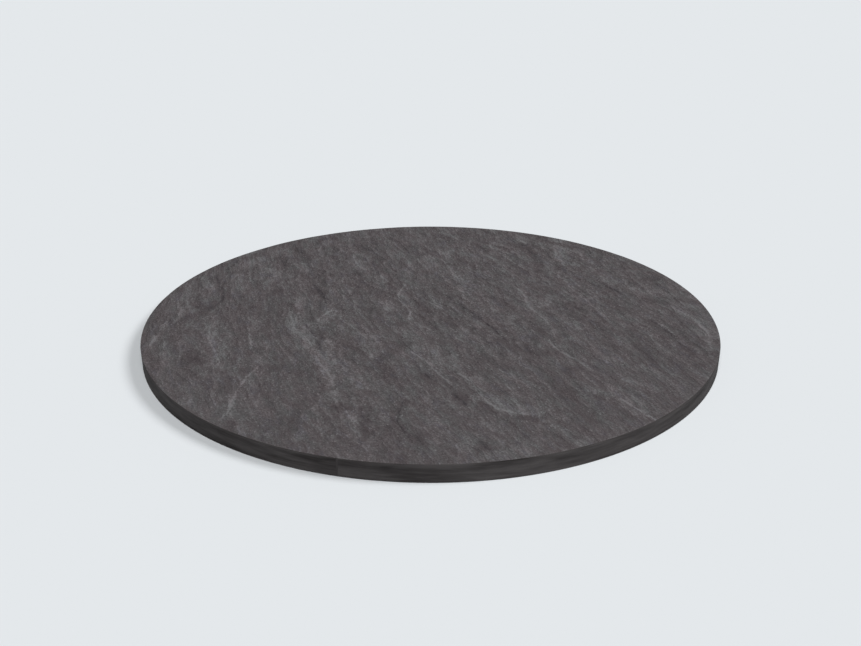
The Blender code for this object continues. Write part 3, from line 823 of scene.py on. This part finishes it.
@dataclass(frozen=True)
class SlabForm:
    """The whole slab as one closed mesh: riven face, arrises, ground rim and sawn underside."""

    face: RivenFace
    face_cells: int = 280
    base_share: int = 4
    top_arris: float = 0.0003
    wear: float = 0.00015
    wear_waves: Waves = Waves(1.0 / 9.0, 1.0 / 9.0, 71, 4, 0.7)
    wear_start: float = 20.0 / 9.0
    wear_limits: Span = (-1.0, 1.6)
    bottom_arris: float = 0.0004
    wall_rows: int = 5
    seam_angle: float = math.radians(-104.3)
    grid_turn: float = math.radians(-67.0)
    sharp_angle: float = math.radians(32.0)

    def rim_angles(self) -> Array:
        """Returns the angle of every point round the rim."""
        steps = np.arange(4 * self.face_cells)
        return (0.5 * steps / self.face_cells - 0.25) * math.pi + self.grid_turn

    def arris_width(self, angle: Array) -> Array:
        """Returns how far the top corner is worn back, a little more in places."""
        worn = self.wear_waves.read(np.exp(1j * angle) + self.wear_start)
        return self.top_arris + self.wear * np.clip(worn, *self.wear_limits)

    def face_points(self, grid: DiscGrid) -> Array:
        """Lays out the riven face, drawn together along the ledges.

        Args:
            grid: the face's grid.

        Returns:
            The points.
        """
        plan = grid.plan()
        plan = plan * (self.face.radius - self.arris_width(np.angle(plan)))
        cell = math.sqrt(math.pi) * self.face.radius / grid.cells
        plan = self.face.draw_to_ledges(plan, cell)
        return np.column_stack((plan.real, plan.imag, self.face.height(plan)))

    def rim_rows(self, edge_height: Array) -> list[Array]:
        """Carries the rim's profile round the slab.

        The profile is a short rounded corner, a straight wall and a cut corner at the foot.

        Args:
            edge_height: height of the face's outermost points, in order round the rim.

        Returns:
            One row of points for each level of the profile, from the top down.
        """
        angle, radius = self.rim_angles(), self.face.radius
        worn = self.arris_width(angle)
        profile = [
            (radius - worn * (1.0 - math.sin(bend)), edge_height - worn * (1.0 - math.cos(bend)))
            for bend in (math.radians(45.0), math.radians(90.0))]
        wall_top = edge_height - worn
        for share in np.linspace(0.0, 1.0, self.wall_rows + 1)[1:]:
            profile.append((radius, wall_top + (self.bottom_arris - wall_top) * share))
        profile.append((radius - self.bottom_arris, np.zeros(angle.shape)))
        return [np.column_stack((np.cos(angle) * out, np.sin(angle) * out, height))
                for out, height in profile]

    def build(self) -> bpy.types.Object:
        """Makes the slab's mesh, with its marks, its map and its faces' finishes.

        Returns:
            The slab, at the origin.
        """
        grid = DiscGrid(self.face_cells, self.grid_turn)
        base_grid = DiscGrid(self.face_cells // self.base_share, self.grid_turn)
        top = self.face_points(grid)
        rows = self.rim_rows(top[grid.rim(), 2])
        inset = 1.0 - 1.0 / base_grid.cells
        base_plan = base_grid.plan() * (self.face.radius - self.bottom_arris) * inset
        base = np.column_stack((base_plan.real, base_plan.imag, np.zeros(len(base_plan))))
        points = np.vstack((top, *rows, base))
        around = np.arange(4 * self.face_cells)
        rings = [grid.rim(), *(len(top) + row * len(around) + around for row in range(len(rows)))]
        groups = self.faces(grid, rings, base_grid, len(points) - len(base))
        mesh = bpy.data.meshes.new("riven_slab")
        mesh.from_pydata(points.tolist(), [], sum((group.tolist() for group in groups), []))
        slots = (Finish.RIVEN, Finish.GROUND, Finish.SAWN, Finish.SAWN)
        finishes = np.repeat([slot.value for slot in slots], [len(group) for group in groups])
        mesh.polygons.foreach_set("material_index", finishes.astype(np.int32))
        mesh.shade_smooth()
        mesh.set_sharp_from_angle(angle=self.sharp_angle)
        self.write_marks(mesh, points, len(top), rings)
        flat = self.flat_map(points[:, :2] / self.face.radius, groups, len(rows))
        mesh.uv_layers.new(name="OFBake").data.foreach_set("uv", flat)
        mesh.validate()
        return add_object("riven_slab", mesh)

    def faces(self, grid: DiscGrid, rings: list[Array], base_grid: DiscGrid,
              base_start: int) -> list[Array]:
        """Lists the faces, all of them facing out.

        Args:
            grid: the riven face's grid.
            rings: the numbers of the points of each ring, from the face's edge down.
            base_grid: the underside's grid.
            base_start: number of the underside's first point.

        Returns:
            The face's cells, the rim's, the strip that joins the rim to the underside, and the
            underside's cells.
        """
        rim = np.vstack([
            np.stack((upper, lower, np.roll(lower, -1), np.roll(upper, -1)), axis=-1)
            for upper, lower in zip(rings, rings[1:])])
        inner = base_start + base_grid.rim()
        outer = rings[-1].reshape(-1, self.base_share)
        next_first = np.roll(outer[:, 0], -1)
        join = np.column_stack((inner, np.roll(inner, -1), next_first, outer[:, ::-1]))
        return [grid.faces(), rim, join, base_start + base_grid.faces()[:, ::-1]]

    def write_marks(self, mesh: bpy.types.Mesh, points: Array, face_count: int,
                    rings: list[Array]) -> None:
        """Stores the marks that the materials read.

        Args:
            mesh: the slab's mesh.
            points: all points of the slab.
            face_count: how many of them belong to the riven face.
            rings: the numbers of the points of each ring.
        """
        plan = points[:, 0] + 1j * points[:, 1]
        marks = {name: np.pad(values, (0, len(points) - face_count))
                 for name, values in self.face.markings(plan[:face_count]).items()}
        turned = np.mod(self.rim_angles() - self.seam_angle, 2.0 * math.pi) / (2.0 * math.pi)
        marks["grind_pass"] = np.zeros(len(points))
        marks["grind_pass"][np.concatenate(rings)] = np.tile(turned, len(rings))
        for name, values in marks.items():
            mesh.attributes.new(name, "FLOAT", "POINT").data.foreach_set("value", values)
        grain = self.face.grain.read(plan)
        grain = np.column_stack((grain.real, grain.imag, points[:, 2])).ravel()
        mesh.attributes.new("grain", "FLOAT_VECTOR", "POINT").data.foreach_set("vector", grain)

    def flat_map(self, plan: Array, groups: list[Array], levels: int) -> Array:
        """Lays the surface out flat on one square.

        The face is a large disc, the rim four strips below it, one quarter each, and the
        underside a small disc beside the face.

        Args:
            plan: all points of the slab from above, on the unit disc.
            groups: the faces, as faces() lists them.
            levels: how many rows of faces the rim has.

        Returns:
            The places of all faces' corners, one number after the other.
        """
        face_centre, face_radius = (0.436, 0.564), 0.424
        base_centre, base_radius = (0.934, 0.470), 0.058
        margin, strip_length, strip_height, strip_pitch = 0.008, 0.984, 0.024, 0.031
        face_map = face_centre + face_radius * plan
        base_map = base_centre + base_radius * plan * (-1.0, 1.0)
        strip, step = np.divmod(np.arange(4 * self.face_cells), self.face_cells)
        strip_foot = margin + strip_pitch * strip
        left = margin + strip_length * step / self.face_cells
        right = margin + strip_length * (step + 1) / self.face_cells
        corners = []
        for level in range(levels):
            high = strip_foot + strip_height * (1.0 - level / levels)
            low = strip_foot + strip_height * (1.0 - (level + 1) / levels)
            corners.append(np.stack((left, high, left, low, right, low, right, high), axis=-1))
        return np.concatenate([part.ravel() for part in (
            face_map[groups[0]], *corners, base_map[groups[2]], base_map[groups[3]])])

    def dress(self, slab: bpy.types.Object) -> None:
        """Gives the slab its three finishes, in the order of their slots.

        Args:
            slab: the slab's object.
        """
        groups = Groups()
        for finish in (RivenSlate(), GroundRim(), SawnBase()):
            slab.data.materials.append(finish.build(groups))


def srgb(*screen: float) -> Colour:
    """Turns a colour as seen on screen into a linear colour.

    Args:
        screen: red, green and blue from 0 to 255.

    Returns:
        The linear red, green and blue, and an alpha of 1.
    """
    part = np.array(screen) / 255.0
    linear = np.where(part <= 0.04045, part / 12.92, ((part + 0.055) / 1.055) ** 2.4)
    return (*linear.tolist(), 1.0)


@dataclass(frozen=True)
class Signal:
    """The output of a node, which plain arithmetic carries on through math nodes."""

    sheet: "NodeSheet"
    socket: bpy.types.NodeSocket

    def __add__(self, other: "Value") -> "Signal":
        """Adds a value."""
        return self.sheet.math("ADD", self, other)

    def __sub__(self, other: "Value") -> "Signal":
        """Takes a value away."""
        return self.sheet.math("SUBTRACT", self, other)

    def __mul__(self, other: "Value") -> "Signal":
        """Multiplies by a value."""
        return self.sheet.math("MULTIPLY", self, other)

    def __truediv__(self, other: "Value") -> "Signal":
        """Divides by a value."""
        return self.sheet.math("DIVIDE", self, other)


Value = Union[Signal, float, tuple[float, ...]]
Feeds = dict[Union[int, str], Value]


@dataclass(frozen=True)
class Swells:
    """The make of one noise.

    scales are its swells per metre along each axis, detail how many finer noises are added,
    roughness the height of each over the one before, and bend how far the noise bends itself.
    """

    scales: tuple[float, float, float]
    detail: float
    roughness: float
    bend: float = 0.0


class NodeSheet:
    """A node tree with short ways to add the nodes that the finishes use."""

    def __init__(self, tree: bpy.types.NodeTree) -> None:
        """Keeps the tree."""
        self.tree = tree

    def node(self, kind: str, feeds: Feeds, **settings: object) -> bpy.types.Node:
        """Adds a node.

        Args:
            kind: the node's type.
            feeds: what goes into its inputs, by their names or numbers.
            settings: its properties by name.

        Returns:
            The node.
        """
        made = self.tree.nodes.new(kind)
        for name, setting in settings.items():
            setattr(made, name, setting)
        for place, value in feeds.items():
            self.feed(made.inputs[place], value)
        return made

    def feed(self, socket: bpy.types.NodeSocket, value: Value) -> None:
        """Links a signal into an input, or sets the input to a constant.

        Args:
            socket: the input.
            value: the signal or the constant.
        """
        if isinstance(value, Signal):
            self.tree.links.new(value.socket, socket)
        else:
            socket.default_value = value

    def step(self, kind: str, feeds: Feeds, output: Union[int, str] = 0, **settings: object) -> Signal:
        """Adds a node and returns one of its outputs."""
        return Signal(self, self.node(kind, feeds, **settings).outputs[output])

    def outputs(self, kind: str, feeds: Feeds, **settings: object) -> dict[str, Signal]:
        """Adds a node and returns all its outputs by name."""
        made = self.node(kind, feeds, **settings)
        return {socket.name: Signal(self, socket) for socket in made.outputs}

    def math(self, operation: str, *values: Value) -> Signal:
        """Adds one step of arithmetic."""
        return self.step("ShaderNodeMath", dict(enumerate(values)), operation=operation)

    def parts(self, vector: Signal) -> Sequence[Signal]:
        """Returns the three parts of a vector."""
        return tuple(self.outputs("ShaderNodeSeparateXYZ", {0: vector}).values())

    def joined(self, *parts: Value) -> Signal:
        """Returns the vector of three parts."""
        return self.step("ShaderNodeCombineXYZ", dict(enumerate(parts)))

    def noise(self, vector: Signal, swells: Swells) -> Signal:
        """Adds a noise.

        Args:
            vector: where it is read.
            swells: its make.

        Returns:
            The noise, about 0.5 on average.
        """
        feeds = {0: vector, 1: swells.scales}
        return self.step("ShaderNodeTexNoise", {
            "Vector": self.step("ShaderNodeVectorMath", feeds, operation="MULTIPLY"),
            "Scale": 1.0, "Detail": swells.detail, "Roughness": swells.roughness,
            "Distortion": swells.bend})

    def spread(self, value: Signal, *span: float, curve: str = "LINEAR") -> Signal:
        """Maps a range of values to another range and holds the result inside it.

        Args:
            value: what is mapped.
            span: both ends of the first range, then of the second where it isn't 0 to 1.
            curve: how the value runs from end to end.

        Returns:
            The mapped value.
        """
        feeds = dict(enumerate((value, *span)))
        return self.step("ShaderNodeMapRange", feeds, interpolation_type=curve)

    def blend(self, share: Value, first: Value, second: Value, kind: str = "MIX") -> Signal:
        """Mixes two colours.

        Args:
            share: how much of the second is mixed in.
            first: the first colour.
            second: the second colour.
            kind: how they are mixed.

        Returns:
            The mixed colour.
        """
        first_colour, second_colour, colour_output = 6, 7, 2
        feeds = {"Factor": share, first_colour: first, second_colour: second}
        return self.step(
            "ShaderNodeMix", feeds, colour_output, data_type="RGBA", blend_type=kind)

    def attribute(self, name: str, output: str = "Fac") -> Signal:
        """Reads one of the mesh's attributes."""
        return self.step("ShaderNodeAttribute", {}, output, attribute_name=name)

    def object_place(self) -> Signal:
        """Returns the place on the piece, in metres."""
        return self.step("ShaderNodeTexCoord", {}, "Object")

    def ramp(self, value: Signal, stops: Sequence[tuple[float, Colour]]) -> Signal:
        """Turns a value into a colour.

        Args:
            value: what is looked up.
            stops: values and their colours.

        Returns:
            The colour.
        """
        made = self.node("ShaderNodeValToRGB", {0: value})
        row = made.color_ramp.elements
        while len(row) < len(stops):
            row.new(0.5)
        for element, (place, colour) in zip(row, stops):
            element.position = place
            element.color = colour
        return Signal(self, made.outputs[0])

    def group(self, tree: bpy.types.NodeTree, **feeds: Value) -> dict[str, Signal]:
        """Places a shared group, feeds its inputs by name and returns its outputs by name."""
        return self.outputs("ShaderNodeGroup", feeds, node_tree=tree)


class GroupSheet(NodeSheet):
    """The node tree of a shared group, whose inputs are given by name."""

    def __init__(self, name: str, **inputs: Optional[float]) -> None:
        """Starts the group.

        Args:
            name: the group's name.
            inputs: its inputs' starting numbers by name, with None for a vector.
        """
        super().__init__(bpy.data.node_groups.new(name, "ShaderNodeTree"))
        for label, start in inputs.items():
            kind = "NodeSocketVector" if start is None else "NodeSocketFloat"
            socket = self.tree.interface.new_socket(label, in_out="INPUT", socket_type=kind)
            if start is not None:
                socket.default_value = start
        self.given = self.outputs("NodeGroupInput", {})

    def finish(self, **outputs: Signal) -> bpy.types.NodeTree:
        """Puts numbers out of the group.

        Args:
            outputs: the numbers by name.

        Returns:
            The group's tree.
        """
        for label in outputs:
            self.tree.interface.new_socket(label, in_out="OUTPUT", socket_type="NodeSocketFloat")
        self.node("NodeGroupOutput", outputs)
        return self.tree


class MaterialSheet(NodeSheet):
    """The node tree of a stone material, round its Principled BSDF."""

    def __init__(self, name: str, specular: float) -> None:
        """Makes the material.

        Args:
            name: the material's name.
            specular: the shader's specular level.
        """
        self.material = bpy.data.materials.new(name)
        self.material.use_nodes = True
        super().__init__(self.material.node_tree)
        self.shader = self.tree.nodes["Principled BSDF"].inputs
        self.feed(self.shader["Specular IOR Level"], specular)

    def dress(self, colour: Value, roughness: Value) -> None:
        """Feeds the shader's colour and roughness."""
        self.feed(self.shader["Base Color"], colour)
        self.feed(self.shader["Roughness"], roughness)

    def bump(self, height: Signal, depth: float) -> None:
        """Feeds the shader's normal from a height and the metres that a height of 1 stands for."""
        feeds = {"Strength": 1.0, "Distance": depth, "Height": height}
        self.feed(self.shader["Normal"], self.step("ShaderNodeBump", feeds))


@dataclass(frozen=True)
class WornSteps:
    """Thin plates whose edges have worn to slopes.

    A noise is cut into levels.  The height is the whole level plus the part of the level to
    the power of wear, so each plate is flat and then rises steeply to the next.  The slope's
    painted light and shade is the part to the power of wear less one: a painted highlight, over
    0, where the noise falls to the right and the slope looks to the lamp at the right, and painted
    shade, under 0, where it looks to the left.
    """

    swells: Swells
    levels: float
    wear: float
    way_aside: float = 0.05
    full_slope: float = 0.012

    def lay(self, sheet: NodeSheet, place: Sequence[Signal]) -> tuple[Signal, Signal]:
        """Lays out the plates.

        Args:
            sheet: the group's sheet.
            place: metres across the grain, along it and up.

        Returns:
            The slopes' painted light and shade, -1 to 1, and the height in levels.
        """
        across, along, up = place
        aside = across + self.way_aside / self.swells.scales[0]
        height = sheet.noise(sheet.joined(across, along, up), self.swells)
        beside = sheet.noise(sheet.joined(aside, along, up), self.swells)
        facing = sheet.spread(beside - height, -self.full_slope, self.full_slope, 1.0, -1.0)
        level = height * self.levels
        part = sheet.math("FRACT", level)
        # tone is painted light and shade: pale on slopes that face the lamp at the right, dark on slopes
        # that face away.
        tone = facing * sheet.math("POWER", part, self.wear - 1.0)
        return tone, sheet.math("FLOOR", level) + sheet.math("POWER", part, self.wear)


@dataclass(frozen=True)
class GrainLook:
    """The slate's grain: broad plates, streaks along the grain, specks and worn steps, with
    light and shade painted on the steps' slopes.

    Every noise reads the grain coordinates, shrunk more along the grain than across it, so
    that its swells are drawn out along the grain.  The steps are bent by the streaks.
    """

    plates: Swells = Swells((24.0, 9.0, 9.0), 5.0, 0.66, 0.35)
    streaks: Swells = Swells((300.0, 80.0, 80.0), 3.0, 0.7)
    specks: Swells = Swells((560.0, 400.0, 400.0), 1.0, 0.7)
    flecks: Swells = Swells((620.0, 260.0, 300.0), 1.0, 0.6)
    fleck_span: Span = (0.63, 0.77)
    steps: WornSteps = WornSteps(Swells((22.0, 6.5, 10.0), 2.5, 0.5), 7.0, 5.0)
    fine_steps: WornSteps = WornSteps(Swells((76.0, 22.0, 40.0), 2.5, 0.5), 6.0, 4.0)
    bend_by_streaks: float = 0.010
    fine_slope_shade_share: float = 0.6
    fine_step_share: float = 0.4

    def build(self) -> bpy.types.NodeTree:
        """Makes the shared group.

        Returns:
            The group's tree.
        """
        sheet = GroupSheet("slate grain", Grain=None)
        grain = sheet.given["Grain"]
        across, along, up = sheet.parts(grain)
        streaks = sheet.noise(grain, self.streaks)
        bent = (streaks * self.bend_by_streaks + across, along, up)
        slopes, steps = self.steps.lay(sheet, bent)
        fine_slope_shade, fine_steps = self.fine_steps.lay(sheet, bent)
        return sheet.finish(
            Plates=sheet.noise(grain, self.plates),
            Streaks=streaks,
            Specks=sheet.noise(grain, self.specks),
            Flecks=sheet.spread(sheet.noise(grain, self.flecks), *self.fleck_span),
            # Slopes is painted light and shade on the worn steps' slopes.
            Slopes=fine_slope_shade * self.fine_slope_shade_share + slopes,
            Steps=fine_steps * self.fine_step_share + steps)


@dataclass(frozen=True)
class BrokenLine:
    """The thin broken line along a plate's edge or a seam.  On a ledge, Pale is a painted highlight
    and Dark painted shade; on a seam, Pale is a vein and Dark a cleft in painted shade.

    The distance from the line is bent by a small noise.  The core is full where that distance
    is 0 and gone at Width, and is cut into knots by a fine noise.  A soft side three times as
    wide lies round it.  A longer noise makes both swell and thin out along the run, and fade
    where they are thin.
    """

    bend: Swells = Swells((210.0, 120.0, 120.0), 4.0, 0.8)
    patches: Swells = Swells((95.0, 62.0, 62.0), 3.0, 0.6)
    knots: Swells = Swells((460.0, 260.0, 260.0), 2.0, 0.6)
    width: float = 0.0012
    width_span: Span = (0.36, 0.64, 0.6, 1.6)
    raggedness: float = 0.0090
    knot_span: Span = (0.42, 0.60, 0.10, 1.25)
    patch_span: Span = (0.38, 0.60, 0.28, 1.0)
    soft_width: float = 3.03
    soft_share: float = 0.24
    pale_core: float = 1.1
    dark_core: float = 0.7

    def build(self) -> bpy.types.NodeTree:
        """Makes the shared group.

        Returns:
            The group's tree.
        """
        sheet = GroupSheet(
            "broken line", Grain=None, Distance=RivenFace.far_from_lines, Tone=0.0,
            Width=self.width, Raggedness=self.raggedness)
        grain, given = sheet.given["Grain"], sheet.given
        ragged = (sheet.noise(grain, self.bend) - 0.5) * given["Raggedness"]
        gap = sheet.math("ABSOLUTE", given["Distance"] + ragged)
        patches = sheet.noise(grain, self.patches)
        widths = gap / (given["Width"] * sheet.spread(patches, *self.width_span))
        knots = sheet.spread(sheet.noise(grain, self.knots), *self.knot_span)
        core = knots * sheet.spread(widths, 0.0, 1.0, 1.0, 0.0)
        beside = sheet.spread(widths, 0.0, self.soft_width, 1.0, 0.0)
        soft = beside * beside * self.soft_share
        patchy_tone = given["Tone"] * sheet.spread(patches, *self.patch_span)
        return sheet.finish(
            Pale=sheet.spread((core * self.pale_core + soft) * patchy_tone, 0.0, 1.0),
            Dark=sheet.spread((core * self.dark_core + soft) * patchy_tone, 0.0, -1.0))


@dataclass(frozen=True)
class ToolStreaks:
    """The long soft streaks that a wheel or a saw leaves, with finer scratches in them."""

    bands: Swells = Swells((16.0, 16.0, 150.0), 3.0, 0.6)
    scratches: Swells = Swells((30.0, 30.0, 900.0), 3.0, 0.65)

    def build(self) -> bpy.types.NodeTree:
        """Makes the shared group.

        Returns:
            The group's tree.
        """
        sheet = GroupSheet("tool streaks", Place=None, Shift=0.0)
        along, around, up = sheet.parts(sheet.given["Place"])
        place = sheet.joined(along, around, up + sheet.given["Shift"])
        return sheet.finish(
            Bands=sheet.noise(place, self.bands), Scratches=sheet.noise(place, self.scratches))


@dataclass(frozen=True)
class Groups:
    """The node groups that the finishes share."""

    grain: bpy.types.NodeTree = field(default_factory=GrainLook().build)
    broken_line: bpy.types.NodeTree = field(default_factory=BrokenLine().build)
    tool_streaks: bpy.types.NodeTree = field(default_factory=ToolStreaks().build)


@dataclass(frozen=True)
class RivenSlate:
    """The split face: warm dark slate with cooler, lighter plates and pale veins, with painted
    highlights on pale ledge edges and painted shade in dark clefts.

    The placed plates, with the light and shade painted beside the ledges, and the broad noise
    are added and held between -0.5 and 0.5, so that plates come out even with ragged fringes.
    Streaks, specks and the painted light and shade of worn slopes go on top, weaker on dark plates
    than on pale ones and stronger by far_coarseness with every metre away from the viewer's side,
    and then the lines of the ledges and seams, painted highlights and painted shade on the
    ledges.  stone_colours has a colour for each tone from dark to light, and clouds of rust,
    green and lilac tint it, with lilac also in the painted shade of the dark lines.
    """

    stone_colours: tuple[tuple[float, Colour], ...] = (
        (0.12, srgb(59.5, 55.4, 57.3)), (0.36, srgb(73.8, 69.2, 70.8)),
        (0.60, srgb(88, 84.8, 85.8)), (0.92, srgb(115, 113, 115)))
    rusty: Colour = srgb(93, 77, 81)
    greenish: Colour = srgb(72, 77, 77)
    lilac: Colour = srgb(76, 74, 88)
    minerals: Swells = Swells((70.0, 26.0, 30.0), 5.0, 0.75)
    green_span: Span = (0.38, 0.62)
    veins: Swells = Swells((90.0, 34.0, 90.0), 4.0, 0.75)
    lilac_span: Span = (0.54, 0.68)
    specular: float = 0.30
    roughness_span: Span = (0.2, 0.8, 0.74, 0.58)
    base_tone: float = 0.515
    plate_gain: float = 0.275
    cloud_share: float = 0.8
    fringe_share: float = 1.2
    mask_reach: float = 0.95
    streak_gain: float = 0.74
    speck_gain: float = 0.88
    fleck_gain: float = 0.60
    far_coarseness: float = 0.75
    pale_coarseness: float = 0.25
    slope_shade_gain: float = 0.17
    pale_line_gain: float = 0.54
    dark_line_gain: float = 0.46
    pale_greenness: float = 0.08
    tint_share: float = 0.22
    streak_height: float = 1.4
    speck_height: float = 2.0
    step_drop: float = 0.00030

    def build(self, groups: Groups) -> bpy.types.Material:
        """Makes the material.

        Args:
            groups: the shared node groups.

        Returns:
            The material.
        """
        sheet = MaterialSheet("riven slate", self.specular)
        grain = sheet.attribute("grain", "Vector")
        stone = sheet.group(groups.grain, Grain=grain)
        line = sheet.group(
            groups.broken_line, Grain=grain, Distance=sheet.attribute("line_distance"),
            Tone=sheet.attribute("line_tone"))
        plates, streaks, specks = (stone[name] - 0.5 for name in ("Plates", "Streaks", "Specks"))
        # plate_tone_and_ledge_shade carries the light and shade painted beside the ledges.
        field_tone = (plates * self.cloud_share + sheet.attribute("plate_tone_and_ledge_shade")
                      + streaks * self.fringe_share)
        mask = sheet.spread(
            field_tone, -self.mask_reach, self.mask_reach, -0.5, 0.5, curve="SMOOTHSTEP")
        _, away, _ = sheet.parts(sheet.object_place())
        coarse = mask * self.pale_coarseness + away * self.far_coarseness + 1.0
        # The slope term is painted light and shade on the worn steps.
        fine = (specks * self.speck_gain + streaks * self.streak_gain
                + stone["Flecks"] * self.fleck_gain + stone["Slopes"] * self.slope_shade_gain)
        # Pale and dark lines: painted highlights and painted shade along the ledges, pale veins and dark
        # clefts in painted shade along the seams.
        tone = (mask * self.plate_gain + self.base_tone + fine * coarse
                + line["Pale"] * self.pale_line_gain - line["Dark"] * self.dark_line_gain)
        minerals = mask * self.pale_greenness + sheet.noise(grain, self.minerals)
        tint = sheet.blend(sheet.spread(minerals, *self.green_span), self.rusty, self.greenish)
        veins = sheet.spread(sheet.noise(grain, self.veins), *self.lilac_span)
        # Lilac tints the veins and the painted shade of the dark lines.
        tint = sheet.blend(sheet.math("MAXIMUM", line["Dark"], veins), tint, self.lilac)
        colour = sheet.blend(self.tint_share, sheet.ramp(tone, self.stone_colours), tint, "COLOR")
        sheet.dress(colour, sheet.spread(tone, *self.roughness_span))
        sheet.bump(stone["Streaks"] * self.streak_height + stone["Steps"]
                   + stone["Specks"] * self.speck_height, self.step_drop)
        return sheet.material


@dataclass(frozen=True)
class GroundRim:
    """The ground rim: near black, with long soft streaks round it and the mark of one pass."""

    dark: Colour = srgb(40, 37, 37)
    light: Colour = srgb(76, 73, 73)
    specular: float = 0.12
    roughness_span: Span = (0.2, 0.8, 0.76, 0.86)
    base_tone: float = -0.85
    band_gain: float = 2.2
    scratch_gain: float = 0.6
    pass_drop: float = 0.10
    pass_shift: float = 0.031
    scratch_depth: float = 0.00008

    def build(self, groups: Groups) -> bpy.types.Material:
        """Makes the material.

        Args:
            groups: the shared node groups.

        Returns:
            The material.
        """
        sheet = MaterialSheet("ground rim", self.specular)
        turned = sheet.attribute("grind_pass")
        streaks = sheet.group(
            groups.tool_streaks, Place=sheet.object_place(), Shift=turned * self.pass_shift)
        tone = (streaks["Bands"] * self.band_gain + streaks["Scratches"] * self.scratch_gain
                + self.base_tone - turned * self.pass_drop)
        sheet.dress(sheet.blend(tone, self.dark, self.light),
                    sheet.spread(tone, *self.roughness_span))
        sheet.bump(streaks["Scratches"], self.scratch_depth)
        return sheet.material


@dataclass(frozen=True)
class SawnBase:
    """The sawn underside: even grey with faint saw lines and the stone's grain."""

    dark: Colour = srgb(78, 76, 78)
    light: Colour = srgb(98, 97, 99)
    tone_span: Span = (0.35, 0.65)
    specular: float = 0.30
    roughness: float = 0.78
    plate_gain: float = 0.5
    speck_gain: float = 0.2
    scratch_gain: float = 0.3
    scratch_depth: float = 0.0001

    def build(self, groups: Groups) -> bpy.types.Material:
        """Makes the material.

        Args:
            groups: the shared node groups.

        Returns:
            The material.
        """
        sheet = MaterialSheet("sawn base", self.specular)
        right, away, _ = sheet.parts(sheet.object_place())
        lines = sheet.group(groups.tool_streaks, Place=sheet.joined(away, 0.0, right))
        stone = sheet.group(groups.grain, Grain=sheet.attribute("grain", "Vector"))
        tone = (stone["Plates"] * self.plate_gain + stone["Specks"] * self.speck_gain
                + lines["Scratches"] * self.scratch_gain)
        share = sheet.spread(tone, *self.tone_span)
        sheet.dress(sheet.blend(share, self.dark, self.light), self.roughness)
        sheet.bump(lines["Scratches"], self.scratch_depth)
        return sheet.material


@dataclass(frozen=True)
class Lamp:
    """One far, broad lamp, with angles in degrees: bearing, height over the floor and spread."""

    name: str
    bearing: float
    height: float
    strength: float
    spread: float

    def build(self) -> None:
        """Hangs the lamp."""
        lamp = bpy.data.lights.new(self.name, "SUN")
        lamp.energy, lamp.angle = self.strength, math.radians(self.spread)
        turn = (0.0, math.radians(90.0 - self.height), math.radians(self.bearing))
        add_object(self.name, lamp).rotation_euler = turn


@dataclass(frozen=True)
class Studio:
    """A pale floor under a dim even sky, a soft lamp at the right and a fill over the viewer."""

    backdrop: Colour = srgb(228, 232, 235)
    floor_colour: Colour = srgb(230, 234, 237)
    floor_reach: float = 14.0
    floor_gap: float = 0.0002
    sky_strength: float = 0.100
    lamps: tuple[Lamp, ...] = (
        Lamp("key_lamp", 2.0, 45.7, 1.560, 24.0), Lamp("fill_lamp", -90.0, 55.0, 2.013, 40.0))

    def build(self) -> None:
        """Makes the floor, the sky and the lamps."""
        mesh = bpy.data.meshes.new("studio_floor")
        reach = self.floor_reach
        corners = ((-reach, -reach), (reach, -reach), (reach, reach), (-reach, reach))
        mesh.from_pydata([(x, y, -self.floor_gap) for x, y in corners], [], [(0, 1, 2, 3)])
        sheet = MaterialSheet("studio floor", 0.0)
        sheet.dress(self.floor_colour, 1.0)
        mesh.materials.append(sheet.material)
        add_object("studio_floor", mesh)
        self.build_sky()
        for lamp in self.lamps:
            lamp.build()

    def build_sky(self) -> None:
        """Lights everything evenly, and shows the backdrop's colour past the floor."""
        world = bpy.data.worlds.new("studio")
        world.use_nodes = True
        bpy.context.scene.world = world
        sheet = NodeSheet(world.node_tree)
        light = world.node_tree.nodes["Background"]
        light.inputs["Color"].default_value = (1.0, 1.0, 1.0, 1.0)
        light.inputs["Strength"].default_value = self.sky_strength
        choice = sheet.step("ShaderNodeMixShader", {
            0: sheet.step("ShaderNodeLightPath", {}, "Is Camera Ray"),
            1: Signal(sheet, light.outputs[0]),
            2: sheet.step("ShaderNodeBackground", {"Color": self.backdrop})})
        sheet.feed(world.node_tree.nodes["World Output"].inputs["Surface"], choice)


@dataclass(frozen=True)
class ViewPoint:
    """The photo's camera, worked out from the slab's outline."""

    distance: float = 1.20424
    elevation: float = math.radians(24.1618)
    look_down: float = math.radians(23.8475)
    lens: float = 39.943
    sensor: float = 36.0
    clip: tuple[float, float] = (0.01, 60.0)

    def build(self) -> None:
        """Makes the camera and gives it to the scene."""
        camera = bpy.data.cameras.new("photo_view")
        camera.lens, camera.sensor_width = self.lens, self.sensor
        camera.clip_start, camera.clip_end = self.clip
        holder = add_object("photo_view", camera)
        holder.location = (0.0, -self.distance * math.cos(self.elevation),
                           self.distance * math.sin(self.elevation))
        holder.rotation_euler = (math.pi / 2.0 - self.look_down, 0.0, 0.0)
        bpy.context.scene.camera = holder


def main() -> None:
    """Builds the view, the slab and its finishes, and the studio, and reports each piece."""
    logging.basicConfig(level=logging.INFO, format="%(name)s: %(message)s")
    ViewPoint().build()
    bpy.context.scene.view_settings.view_transform = "Standard"
    form = SlabForm(RivenFace(0.5 * (CAD_HIGH.x - CAD_LOW.x), CAD_HIGH.z - CAD_LOW.z))
    slab = form.build()
    form.dress(slab)
    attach(slab, "root")
    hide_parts("slate_slab")
    LOG.info("riven_slab: %d points, %d faces", len(slab.data.vertices), len(slab.data.polygons))
    Studio().build()
    LOG.info("studio: floor, sky and lamps")


if __name__ == "__main__":
    main()
